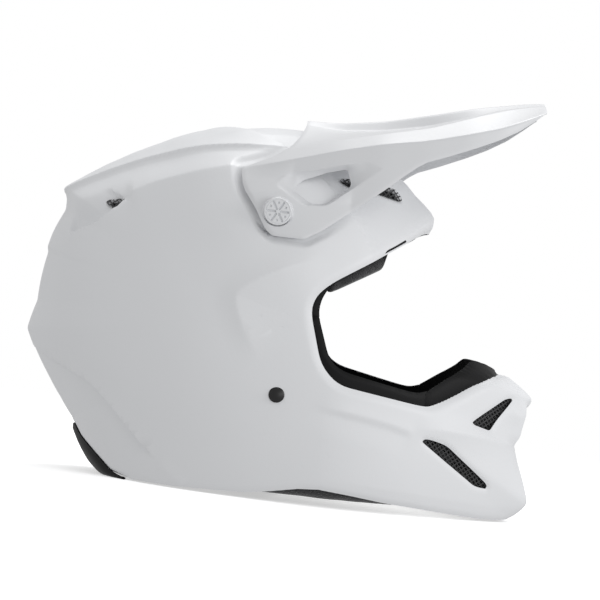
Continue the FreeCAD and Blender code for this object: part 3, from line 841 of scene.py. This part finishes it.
def visor_grid(step):
    """Rows along y of half cross-sections, folded at the crease, bevel and ridge.

    Each fold's x and z are read between stations and blurred along y; the arm below the crease keeps the
    larger of the shell's half breadth plus its stand-off and a slight flare; corners are rounded by corner
    cutting; then the half section is mirrored.
    """
    stations = np.array([y for y, _ in VISOR_FOLDS], float)[::-1]
    folds = np.array([points for _, points in VISOR_FOLDS], float)[::-1]
    y = np.arange(-162.0, 48.0, step)
    upper = np.stack([[np.interp(y, stations, folds[:, k, c]) for c in (0, 1)] for k in range(6)])
    upper = np.moveaxis(upper, 2, 0)
    upper = blurred(upper, 5 / step, wrap=False)
    crease = upper[:, :1]
    depth = np.linspace(1, 0, 7)[None, :-1]
    z = ARM_FOOT + (crease[:, :, 1] - ARM_FOOT) * (1 - depth)
    rows = np.broadcast_to(y[:, None], z.shape)
    hug = half_breadth(rows, z) + STAND_OFF
    flare = crease[:, :, 0] + 0.10 * (crease[:, :, 1] - z)
    arm = np.stack([np.maximum(hug, flare), z], axis=-1)
    section = np.concatenate([arm, upper], axis=1)
    cuts = []
    for k in range(section.shape[1] - 1):
        start, finish = section[:, k:k + 1], section[:, k + 1:k + 2]
        longest = np.linalg.norm(finish - start, axis=-1).max()
        share = np.linspace(0, 1, max(int(longest / step), 2) + 1)[None, :-1, None]
        cuts.append(start * (1 - share) + finish * share)
    cuts.append(section[:, -1:])
    half = np.concatenate(cuts, axis=1)
    for _ in range(2):
        half[:, 1:-1] = half[:, :-2] * 0.25 + half[:, 1:-1] * 0.5 + half[:, 2:] * 0.25
    half[:, -1, 0] = 0
    across = np.concatenate([half, (half * [-1, 1])[:, -2::-1]], axis=1)
    rows = np.broadcast_to(y[:, None], across.shape[:2])
    grid = np.stack([across[..., 0], rows, across[..., 1]], axis=-1)
    normals = np.cross(np.gradient(grid, axis=1), np.gradient(grid, axis=0))
    normals /= np.linalg.norm(normals, axis=-1, keepdims=True)
    count = grid.shape[1]
    corner = (np.arange(len(y) - 1)[:, None] * count + np.arange(count - 1)[None, :]).ravel()
    tris = np.concatenate([
        np.stack([corner, corner + 1, corner + count + 1], 1),
        np.stack([corner, corner + count + 1, corner + count], 1),
    ])
    # Normals point up in the middle of the top, and the faces are turned to agree with them.
    if normals[len(y) // 2, count // 2, 2] < 0:
        normals = -normals
    first = grid.reshape(-1, 3)[tris[len(tris) // 4]]
    facing = np.cross(first[1] - first[0], first[2] - first[0])
    near = normals.reshape(-1, 3)[tris[len(tris) // 4][0]]
    if facing @ near < 0:
        tris = tris[:, ::-1]
    return grid.reshape(-1, 3), normals.reshape(-1, 3), tris


class HELMET_OT_visor(bpy.types.Operator):
    """Folded peak visor with a window in each arm"""

    bl_idname = "helmet.visor"
    bl_label = "Visor"

    def execute(self, context):
        wall = context.scene.helmet_sizes.visor_wall / MM
        points, normals, tris = visor_grid(1.0)
        side = points[:, 1:]
        arm = np.abs(points[:, 0]) > ARM_START
        opening = inside(side, eased(WINDOW, 3))
        recess = inside(side, eased(WINDOW_RECESS, 3))
        share = np.clip(recess, 0, None) / (np.clip(recess, 0, None) + np.clip(-opening, 0.01, None))
        dent = np.where(arm & (recess > 0), 5.0 * share, 0)
        edge = eased(VISOR_EDGE, 2)
        within = inside(side, edge)
        low_rear = smooth(-12, 4, side[:, 0]) * (1 - smooth(203, 216, side[:, 1]))
        dent = dent + (0.4 + 0.9 * low_rear) * hump(np.clip(within, 0, None), 2.5)
        points = points - normals * dent[:, None]
        radius = np.linalg.norm(side - PIVOT, axis=1)
        seat = (1 - smooth(9.5, 10.1, radius)) * arm
        x = points[:, 0]
        points[:, 0] = x + seat * (np.sign(x) * VISOR_SEAT - x)
        field = np.minimum(within, np.where(arm, -opening, FAR))
        points, tris = clip(points, tris, field)
        bore = np.linalg.norm(points[:, 1:] - PIVOT, axis=1) - SCREW_HOLE
        points, tris = clip(points, tris, bore)
        piece = walled("visor_peak", points, tris, wall, 88000, 32)
        finish_piece(piece, "visor", "visor_white", "visor")
        return {"FINISHED"}


# ---- shell, trims and vents ----

class HELMET_OT_shell(bpy.types.Operator):
    """Outer shell with its chin bar, creases, scoops and openings"""

    bl_idname = "helmet.shell"
    bl_label = "Outer shell"

    def execute(self, context):
        wall = context.scene.helmet_sizes.shell_wall / MM
        points, normals, tris = form_grid(760, 331)
        port = eased(PORT, 9)
        side = points[:, 1:]
        wanted = (inside(side, port) < 4) & (inside(side, np.array(UNDER_BASE)) < 4)
        keep = wanted[tris].all(axis=1)
        used, renumbered = np.unique(tris[keep], return_inverse=True)
        points, normals, tris = points[used], normals[used], renumbered.reshape(-1, 3)
        flat = points.copy()
        points = seated(points + normals * relief(points)[:, None])
        side = flat[:, 1:]
        field = np.minimum(-inside(side, port), -inside(side, np.array(UNDER_BASE)))
        for outline in SIDE_VENTS.values():
            field = np.minimum(field, -inside(side, eased(outline, 2)))
        field = np.minimum(field, -mouth_opening(flat))
        field = np.minimum(field, np.linalg.norm(side - PIVOT, axis=1) - INSERT_HOLE)
        points, tris = clip(points, tris, field)
        piece = walled("helmet_shell", points, tris, wall, 92000, 42)
        finish_piece(piece, "helmet", "shell_white", "outer_shell")
        return {"FINISHED"}


def band(name, inset, outline, wall, slot_name, nodes, limit=None, curl=None, turns=420, slices=181):
    """A strip of the form sunk by inset, cut to a side-view outline, curled at its edge and walled."""
    points, normals, tris = form_grid(turns, slices)
    side = points[:, 1:]
    within = inside(side, outline)
    if limit is not None:
        within = np.minimum(within, limit(points))
    keep = (within > -6)[tris].all(axis=1)
    used, renumbered = np.unique(tris[keep], return_inverse=True)
    points, normals, tris, within = points[used], normals[used], renumbered.reshape(-1, 3), within[used]
    depth = np.full(len(points), inset)
    if curl:
        depth = depth + curl[0] * hump(np.clip(within, 0, None), curl[1])
    points, tris = clip(points - normals * depth[:, None], tris, within)
    piece = walled(name, points, tris, wall, 60000, 40)
    finish_piece(piece, "helmet", slot_name, *nodes)
    return piece


SEAL_INNER = [
    (-90, 194), (-57, 172), (-27, 149.5), (-21.5, 140), (-20, 129), (-31, 99), (-41, 92.5),
    (-72.6, 87), (-92, 83.8), (-98, 84.5), (-106, 88), (-FAR, 106), (-FAR, 194),
]
SEAL_OUTER = [
    (-FAR, 203), (-94, 203), (-60, 177.5), (-24, 156), (-11.5, 143.5), (-8.5, 130), (-19.5, 92),
    (-34.5, 78), (-98, 69), (-108, 69.5), (-FAR, 100),
]


class HELMET_OT_trims(bpy.types.Operator):
    """Rubber seal round the eye port, nose guard and rear bumper"""

    bl_idname = "helmet.trims"
    bl_label = "Rubber trims"

    def execute(self, context):
        def seal_limit(points):
            side = points[:, 1:]
            upper = np.minimum(points[:, 2] - 126, points[:, 1] + 77)
            lower = np.minimum(127 - points[:, 2], points[:, 1] + 103)
            return np.minimum(-inside(side, eased(SEAL_INNER, 8)), np.maximum(upper, lower))

        band("port_seal", 3.4, eased(SEAL_OUTER, 9), 3.6, "black_rubber", ["eye_port_seal"], seal_limit,
             (1.2, 3))
        guard = [
            (-152.5, 103.8), (-151.5, 106.2), (-141.5, 109.5), (-131, 110.5), (-128, 108), (-116, 97.4),
            (-101, 85.5), (-99, 80), (-100, 73), (-106, 73), (-150, 102.2),
        ]
        band("nose_guard", 2.6, eased(guard, 2.5), 11, "black_rubber", ["chin_bar_nose_guard"], None,
             (1.6, 4))
        bumper = [(138.6, 33.2), (147, 27), (143, 17), (116, 0.3), (95, 0.1), (108.6, 5.1), (132.8, 25.2)]
        band("rear_bumper", -2.6, eased(bumper, 2.5), 9, "black_rubber", ["rear_bumper_trim"], None, (2.2, 4))
        return {"FINISHED"}


class HELMET_OT_vents(bpy.types.Operator):
    """Black meshes behind the vents"""

    bl_idname = "helmet.vents"
    bl_label = "Vent meshes"

    def execute(self, context):
        for name, outline in SIDE_VENTS.items():
            ring = eased(outline, 2)
            for hand, sign in (("left", 1), ("right", -1)):
                node = name + "_" + hand
                grown = grown_field(ring, 1.2, sign)
                band("mesh_" + node, 2.5, WHOLE_SIDE, 0.45, "vent_mesh", [node], grown, None, 900, 401)
        band("mesh_mouth", 6.2, WHOLE_SIDE, 0.45, "vent_mesh", ["mouth_vent_grille"],
             lambda points: mouth_opening(points) + 1.2, None, 420, 301)
        return {"FINISHED"}


WHOLE_SIDE = np.array([(-FAR, -FAR), (FAR, -FAR), (FAR, FAR), (-FAR, FAR)])


def grown_field(ring, growth, sign):
    """Positive inside a ring grown all round, on one side of the helmet only."""
    def field(points):
        return np.minimum(inside(points[:, 1:], ring) + growth, points[:, 0] * sign - 5)
    return field


# ---- impact foam ----

CROWN_FOAM = [
    (-FAR, 145), (-9, 145), (18, 112), (66, 66), (74, 24), (FAR, 24), (FAR, FAR), (-FAR, FAR),
]
CHIN_FOAM = [(-97, 68), (-106, 68), (-150, 97), (-FAR, 97), (-FAR, 7), (-97, 7)]
CHEEK_FOAM = [
    (-96.4, 27), (-96.4, 67), (-36, 75.5), (-18, 92), (-8.5, 128), (-9, 143.5), (16.5, 111), (64.5, 65),
    (72.5, 27),
]


class HELMET_OT_foam(bpy.types.Operator):
    """Bead foam of the crown, the chin bar and the cheeks"""

    bl_idname = "helmet.foam"
    bl_label = "Impact foam"

    def execute(self, context):
        port = eased(SEAL_OUTER, 9)

        def crown_limit(points):
            side = points[:, 1:]
            return np.minimum(-inside(side, port), np.linalg.norm(side - PIVOT, axis=1) - 13)

        def cheek_limit(sign):
            def field(points):
                channel = np.maximum(np.abs(points[:, 1] - STRAP_Y) - 14, points[:, 2] - 90)
                return np.minimum(channel, points[:, 0] * sign - 40)
            return field

        band("foam_crown", 6.6, np.array(CROWN_FOAM, float), 22, "impact_foam", ["crown_impact_foam"],
             crown_limit)
        band("foam_chin", 6.0, np.array(CHIN_FOAM, float), 12, "impact_foam", ["chin_bar_foam"])
        for hand, sign in (("left", 1), ("right", -1)):
            band("foam_cheek_" + hand, 6.6, np.array(CHEEK_FOAM), 16.5, "impact_foam", ["cheek_foam_" + hand],
                 cheek_limit(sign))
        return {"FINISHED"}


# ---- padded pieces ----

# node: (voxel, start inset, most movement, fill), lengths in millimetres
PADS = {
    "cheek_pad_left": (4.5, 1.6, 5.0, 0.7),
    "cheek_pad_right": (4.5, 1.6, 5.0, 0.7),
    "neck_roll": (4.0, 1.0, 3.0, 0.6),
    "brow_pad": (4.0, 1.0, 3.5, 0.6),
    "comfort_liner": (4.0, 0.8, 2.2, 0.4),
}


def coordinates(mesh):
    flat = np.zeros(len(mesh.vertices) * 3, np.float32)
    mesh.vertices.foreach_get("co", flat)
    return flat.reshape(-1, 3).astype(float)


def set_coordinates(mesh, points):
    mesh.vertices.foreach_set("co", np.ascontiguousarray(points, np.float32).ravel())
    mesh.update()


def vertex_normals(mesh):
    flat = np.zeros(len(mesh.vertices) * 3, np.float32)
    mesh.vertices.foreach_get("normal", flat)
    return flat.reshape(-1, 3).astype(float)


def pad_blank(node, voxel, inset):
    """An evenly meshed copy of a CAD pad, drawn in a little so that it can swell."""
    mesh = NODES[node].data.copy()
    mesh.materials.clear()
    merged(mesh, 1e-5)
    piece = new_object("pad_" + node, mesh)
    even = piece.modifiers.new("even", "REMESH")
    even.mode = "VOXEL"
    even.voxel_size = voxel * MM
    relax = piece.modifiers.new("relax", "SMOOTH")
    relax.factor = 0.5
    relax.iterations = 4
    baked(piece)
    points = coordinates(piece.data) - vertex_normals(piece.data) * inset * MM
    if node == "brow_pad":
        floor = np.interp(points[:, 1] / MM, (-90, -62, -55), (198, 179.5, 100)) * MM
        points[:, 2] = np.maximum(points[:, 2], floor)
    set_coordinates(piece.data, points)
    return piece


def swell(pads):
    """Blows the pads up against their cloth covers, all in one run, and caps how far a point moves."""
    starts = {}
    for piece in pads:
        starts[piece.name] = coordinates(piece.data)
        cloth = piece.modifiers.new("cover", "CLOTH")
        cloth.settings.use_pressure = True
        cloth.settings.uniform_pressure_force = 4
        cloth.settings.quality = 4
        cloth.settings.tension_stiffness = 20
        cloth.settings.compression_stiffness = 20
        cloth.settings.effector_weights.gravity = 0
        cloth.collision_settings.use_collision = False
        cloth.point_cache.frame_start = 1
        cloth.point_cache.frame_end = 20
    scene = bpy.context.scene
    for step in range(1, 21):
        scene.frame_set(step)
    graph = bpy.context.evaluated_depsgraph_get()
    moved = {piece.name: coordinates(piece.evaluated_get(graph).data) for piece in pads}
    for piece in pads:
        piece.modifiers.clear()
    scene.frame_set(1)
    for piece in pads:
        most = PADS[piece.name[4:]][2] * MM
        shift = moved[piece.name] - starts[piece.name]
        length = np.linalg.norm(shift, axis=1, keepdims=True)
        shift *= np.minimum(1, most / np.maximum(length, 1e-9))
        set_coordinates(piece.data, starts[piece.name] + shift)


# Seams of the pads, node by node: (plane normal, plane distance in millimetres).
SEAMS = {
    "cheek_pad_left": [((1, 0, 0), 88.0), ((0, 0.6, 0.8), 74.0)],
    "cheek_pad_right": [((-1, 0, 0), 88.0), ((0, 0.6, 0.8), 74.0)],
    "neck_roll": [((0, 0, 1), 13.0)],
    "brow_pad": [((1, 0, 0), 32.0), ((-1, 0, 0), 32.0)],
    "comfort_liner": [((1, 0, 0), 30.0), ((-1, 0, 0), 30.0), ((0, 1, 0), 62.0), ((0, 0, 1), 110.0)],
}


def sewn(piece, seams):
    """Draws each seam in as a channel: 1.3 mm deep in the middle, gone 5 mm away."""
    points = coordinates(piece.data)
    normals = vertex_normals(piece.data)
    depth = np.zeros(len(points))
    for direction, distance in seams:
        unit = np.array(direction, float)
        unit /= np.linalg.norm(unit)
        depth = np.maximum(depth, 1.3 * hump(points @ unit / MM - distance, 5.0))
    set_coordinates(piece.data, points - normals * depth[:, None] * MM)


class HELMET_OT_pads(bpy.types.Operator):
    """Cheek pads, comfort liner, brow pad and neck roll, swollen as filled fabric"""

    bl_idname = "helmet.pads"
    bl_label = "Padded pieces"

    def execute(self, context):
        pads = [pad_blank(node, voxel, inset) for node, (voxel, inset, _, _) in PADS.items()]
        swell(pads)
        for piece in pads:
            node = piece.name[4:]
            finer = piece.modifiers.new("finer", "SUBSURF")
            finer.levels = 1
            finer.render_levels = 1
            baked(piece)
            sewn(piece, SEAMS[node])
            shaded(piece, 80)
            finish_piece(piece, "helmet", "liner_fabric", node)
        return {"FINISHED"}


# ---- chin strap ----

STRAP_Y = 1.5
STRAP_ROUTE = [(114.6, 82), (114.6, 66), (106.3, 30), (103, 24.3), (85, 24.3), (78, 18.5)]
SHORT_LOOP = [
    (62, 16.4), (47, 16.4), (38.5, 19.7), (33, 20.3), (30.9, 17.5), (30.9, 12.6), (33, 9.8), (38.5, 10.5),
    (47, 13.9), (62, 14.6),
]
LONG_FOLD = [
    (60, 14.2), (30, 10.4), (0, 8.6), (-20, 7.4), (-26.2, 10), (-26.4, 16), (-25.8, 22), (-20, 24.6),
    (-12, 23.2), (15, 17.4), (40, 15), (60, 16.6),
]


def strap(name, path, side, node):
    """Webbing carried along its route: a flat rounded profile, with the weave's lengths in its map."""
    route = rounded(path, 3)
    length = np.concatenate([[0], np.cumsum(np.linalg.norm(np.diff(route, axis=0), axis=1))])
    even = np.arange(0, length[-1], 1.2)
    route = np.column_stack([np.interp(even, length, route[:, k]) for k in (0, 1)])
    grid, along, turn = tube(route * [side, 1], 23.6, 1.45, 24)
    grid = grid + [0, STRAP_Y, 0]
    rows, columns = grid.shape[:2]
    corner = np.arange(rows - 1)[:, None] * columns
    column = np.arange(columns)[None, :]
    following = (column + 1) % columns
    quads = np.stack([corner + column, corner + following, corner + columns + following,
                      corner + columns + column], axis=-1).reshape(-1, 4)
    mesh = mesh_from(name, grid.reshape(-1, 3), quads if side < 0 else quads[:, ::-1])
    closed(mesh, columns)
    piece = new_object(name, mesh)
    layer = mesh.uv_layers.new(name="weave")
    loops = np.zeros(len(mesh.loops), np.int32)
    mesh.loops.foreach_get("vertex_index", loops)
    spot = np.minimum(loops // columns, rows - 1)
    across = (grid.reshape(-1, 3)[np.minimum(loops, rows * columns - 1), 1] - STRAP_Y) / 24 + 0.5
    layer.data.foreach_set("uv", np.column_stack([across, along[spot] * MM]).astype(np.float32).ravel())
    shaded(piece, 50)
    finish_piece(piece, "helmet", "strap_webbing", node)
    return piece


class HELMET_OT_straps(bpy.types.Operator):
    """Both parts of the chin strap, as woven webbing"""

    bl_idname = "helmet.straps"
    bl_label = "Chin strap"

    def execute(self, context):
        strap("webbing_short", STRAP_ROUTE + SHORT_LOOP, 1, "strap_short")
        strap("webbing_long", STRAP_ROUTE + LONG_FOLD, -1, "strap_long")
        return {"FINISHED"}


# ---- pivot screws ----

CAP_RADIUS = 9.2
CAP_TOP = 121.3
CAP_SEAT = 118.1
CAP_BEVEL = 0.7
SHANK_RADIUS = 3.0
SHANK_END = 101
TOP_RINGS = 62


def screw_surface(sign):
    """Profile of radii and depths turned about the pivot axis.

    Spokes, dots and a ring are pressed into the top: depth * (1 - smooth(floor, edge, distance)) for the
    distance from each spoke's middle line, each dot's middle or the ring's radius.
    """
    top = np.linspace(0.02, CAP_RADIUS - CAP_BEVEL, TOP_RINGS)
    turn = np.linspace(0, 0.5 * math.pi, 6)
    rim = CAP_RADIUS - CAP_BEVEL + CAP_BEVEL * np.sin(turn)
    bevel = CAP_TOP - CAP_BEVEL + CAP_BEVEL * np.cos(turn)
    radius = np.concatenate([top, rim, [CAP_RADIUS, SHANK_RADIUS + 0.2, SHANK_RADIUS, SHANK_RADIUS, 0.02]])
    under = [CAP_SEAT, CAP_SEAT, CAP_SEAT - 0.2, SHANK_END, SHANK_END]
    level = np.concatenate([np.full(TOP_RINGS, CAP_TOP), bevel, under])
    angle = np.linspace(0, 2 * math.pi, 216, endpoint=False)
    r, a = np.meshgrid(radius, angle, indexing="ij")
    x = np.broadcast_to(level[:, None], r.shape).copy()
    sector = math.pi / 3
    off = (a + sector / 2) % sector - sector / 2
    between = a % sector - sector / 2
    along = np.clip(r * np.cos(off), 1.9, 6.9)
    spoke = np.hypot(r * np.cos(off) - along, r * np.sin(off))
    dot = np.hypot(r * np.cos(between) - 5.9, r * np.sin(between))
    groove = 1.3 * (1 - smooth(0.45, 0.85, spoke)) + 0.9 * (1 - smooth(0.5, 0.85, dot))
    groove = np.maximum(groove, 0.35 * (1 - smooth(0.12, 0.4, np.abs(r - 8.0))))
    x[:TOP_RINGS] -= groove[:TOP_RINGS]
    points = np.stack([sign * x, PIVOT[0] + r * np.cos(a), PIVOT[1] + r * np.sin(a)], axis=-1)
    rows, columns = r.shape
    corner = np.arange(rows - 1)[:, None] * columns
    column = np.arange(columns)[None, :]
    following = (column + 1) % columns
    quads = np.stack([corner + column, corner + columns + column, corner + columns + following,
                      corner + following], axis=-1).reshape(-1, 4)
    return points.reshape(-1, 3), quads if sign > 0 else quads[:, ::-1], columns


class HELMET_OT_screws(bpy.types.Operator):
    """Pivot screws with a spoked grip pressed into each cap"""

    bl_idname = "helmet.screws"
    bl_label = "Pivot screws"

    def execute(self, context):
        for hand, sign in (("left", 1), ("right", -1)):
            points, quads, columns = screw_surface(sign)
            mesh = mesh_from("screw_" + hand, points, quads)
            closed(mesh, columns)
            piece = new_object("screw_" + hand, mesh)
            shaded(piece, 35)
            finish_piece(piece, "visor_screw_" + hand, "white_cap", "visor_screw_" + hand)
        return {"FINISHED"}


# ---- hardware that keeps its CAD shape ----

KEPT = {
    "visor_rest_pad": "black_rubber",
    "d_ring_lower": "steel",
    "d_ring_upper": "steel",
    "strap_snap": "black_plastic",
    "cheek_pad_snaps_left": "black_plastic",
    "cheek_pad_snaps_right": "black_plastic",
    "pivot_insert_left": "brass_insert",
    "pivot_insert_right": "brass_insert",
    "strap_rivet_left": "black_steel",
    "strap_rivet_right": "black_steel",
    "strap_anchor_left": "steel",
    "strap_anchor_right": "steel",
}


class HELMET_OT_hardware(bpy.types.Operator):
    """Finishes for the rivets, rings, anchors, snaps, inserts and rest pad, which keep their CAD shape"""

    bl_idname = "helmet.hardware"
    bl_label = "Hardware"

    def execute(self, context):
        for node, finish_name in KEPT.items():
            carry_over(node, finish_name)
        return {"FINISHED"}


# ---- stage ----

CAMERA_TURN = math.radians(7)


def area_light(name, place, target, size, power):
    data = bpy.data.lights.new(name, "AREA")
    data.shape = "DISK"
    data.size = size
    data.energy = power
    lamp = bpy.data.objects.new(name, data)
    lamp.location = place
    lamp.rotation_euler = (Vector(target) - Vector(place)).to_track_quat("-Z", "Y").to_euler()
    bpy.context.scene.collection.objects.link(lamp)


class HELMET_OT_stage(bpy.types.Operator):
    """Pale floor, soft light and the camera"""

    bl_idname = "helmet.stage"
    bl_label = "Stage"

    def execute(self, context):
        scene = context.scene
        power = scene.helmet_stage.light
        data = bpy.data.cameras.new("camera")
        data.sensor_width = 36
        data.lens = 205.7
        camera = bpy.data.objects.new("camera", data)
        c, s = math.cos(CAMERA_TURN), math.sin(CAMERA_TURN)
        axes = Matrix(((0, 0, -1), (-c, s, 0), (s, c, 0)))
        camera.matrix_world = Matrix.Translation((-2.4, -0.00636, 0.13635)) @ axes.to_4x4()
        scene.collection.objects.link(camera)
        scene.camera = camera
        scene.view_settings.view_transform = "Standard"

        angle = np.linspace(0, 2 * math.pi, 96, endpoint=False)
        ring = np.column_stack([np.cos(angle), np.sin(angle), np.zeros(96)]) * 1600
        floor = new_object("floor", mesh_from("floor", ring, np.arange(96)[None, :]))
        floor.data.materials.append(floor_paper("floor_paper", tuple(scene.helmet_stage.floor)))
        floor.visible_diffuse = False
        floor.visible_glossy = False

        world = bpy.data.worlds.new("studio")
        scene.world = world
        world.use_nodes = True
        tree = world.node_tree
        background = tree.nodes["Background"]
        background.inputs["Color"].default_value = (1, 1, 1, 1)
        background.inputs["Strength"].default_value = scene.helmet_stage.ambient
        seen = tree.nodes.new("ShaderNodeBackground")
        seen.inputs["Color"].default_value = (1, 1, 1, 1)
        seen.inputs["Strength"].default_value = 1.0
        ray = tree.nodes.new("ShaderNodeLightPath")
        mix = tree.nodes.new("ShaderNodeMixShader")
        tree.links.new(ray.outputs["Is Camera Ray"], mix.inputs[0])
        tree.links.new(background.outputs[0], mix.inputs[1])
        tree.links.new(seen.outputs[0], mix.inputs[2])
        tree.links.new(mix.outputs[0], tree.nodes["World Output"].inputs[0])

        middle = (0, 0, 0.13)
        area_light("overhead", (0.95, -0.2, 2.0), middle, 1.1, 22 * power)
        area_light("front", (-0.7, -2.3, 0.75), middle, 1.0, 15 * power)
        area_light("low_fill", (-1.8, -1.2, 0.3), middle, 0.8, 6 * power)
        area_light("rear", (0.2, 2.2, 1.2), middle, 0.8, 3 * power)
        return {"FINISHED"}


# ---- settings, panel and registration ----

class HELMET_sizes(bpy.types.PropertyGroup):
    shell_wall: FloatProperty(name="Shell wall", description="Thickness of the outer shell",
                              default=0.0026, unit="LENGTH")
    visor_wall: FloatProperty(name="Visor wall", description="Thickness of the visor",
                              default=0.0024, unit="LENGTH")


class HELMET_colours(bpy.types.PropertyGroup):
    shell: FloatVectorProperty(name="Shell", description="Lacquer of the outer shell", subtype="COLOR",
                               default=(0.80, 0.81, 0.83))
    visor: FloatVectorProperty(name="Visor", description="Lacquer of the visor and its screw caps",
                               subtype="COLOR", default=(0.80, 0.81, 0.83))
    rubber: FloatVectorProperty(name="Rubber", description="Seal, nose guard and bumper", subtype="COLOR",
                                default=(0.004, 0.004, 0.0045))
    fabric: FloatVectorProperty(name="Fabric", description="Covers of the pads and the liner",
                                subtype="COLOR", default=(0.022, 0.022, 0.024))


class HELMET_stage_settings(bpy.types.PropertyGroup):
    light: FloatProperty(name="Light", description="Strength of the studio lights", default=1.0, min=0)
    ambient: FloatProperty(name="Ambient", description="Even light from all round", default=0.58, min=0)
    floor: FloatVectorProperty(name="Floor", description="Colour of the floor paper", subtype="COLOR",
                               default=(0.92, 0.92, 0.92))


STEPS = (HELMET_OT_stage, HELMET_OT_pads, HELMET_OT_shell, HELMET_OT_visor, HELMET_OT_trims, HELMET_OT_vents,
         HELMET_OT_foam, HELMET_OT_straps, HELMET_OT_screws, HELMET_OT_hardware)


class HELMET_PT_panel(bpy.types.Panel):
    """Sizes, colours and the build steps"""

    bl_idname = "HELMET_PT_panel"
    bl_label = "Motocross helmet"
    bl_space_type = "VIEW_3D"
    bl_region_type = "UI"
    bl_category = "Helmet"

    def draw(self, context):
        scene = context.scene
        for group in (scene.helmet_sizes, scene.helmet_colours, scene.helmet_stage):
            for name in group.__annotations__:
                self.layout.prop(group, name)
        for step in STEPS:
            self.layout.operator(step.bl_idname)


CLASSES = (HELMET_sizes, HELMET_colours, HELMET_stage_settings) + STEPS + (HELMET_PT_panel,)


def register():
    for item in CLASSES:
        bpy.utils.register_class(item)
    bpy.types.Scene.helmet_sizes = PointerProperty(type=HELMET_sizes)
    bpy.types.Scene.helmet_colours = PointerProperty(type=HELMET_colours)
    bpy.types.Scene.helmet_stage = PointerProperty(type=HELMET_stage_settings)


def unregister():
    del bpy.types.Scene.helmet_stage
    del bpy.types.Scene.helmet_colours
    del bpy.types.Scene.helmet_sizes
    for item in reversed(CLASSES):
        bpy.utils.unregister_class(item)


def main():
    register()
    bpy.ops.helmet.stage()
    bpy.ops.helmet.pads()
    bpy.ops.helmet.shell()
    bpy.ops.helmet.visor()
    bpy.ops.helmet.trims()
    bpy.ops.helmet.vents()
    bpy.ops.helmet.foam()
    bpy.ops.helmet.straps()
    bpy.ops.helmet.screws()
    bpy.ops.helmet.hardware()


if __name__ == "__main__":
    main()
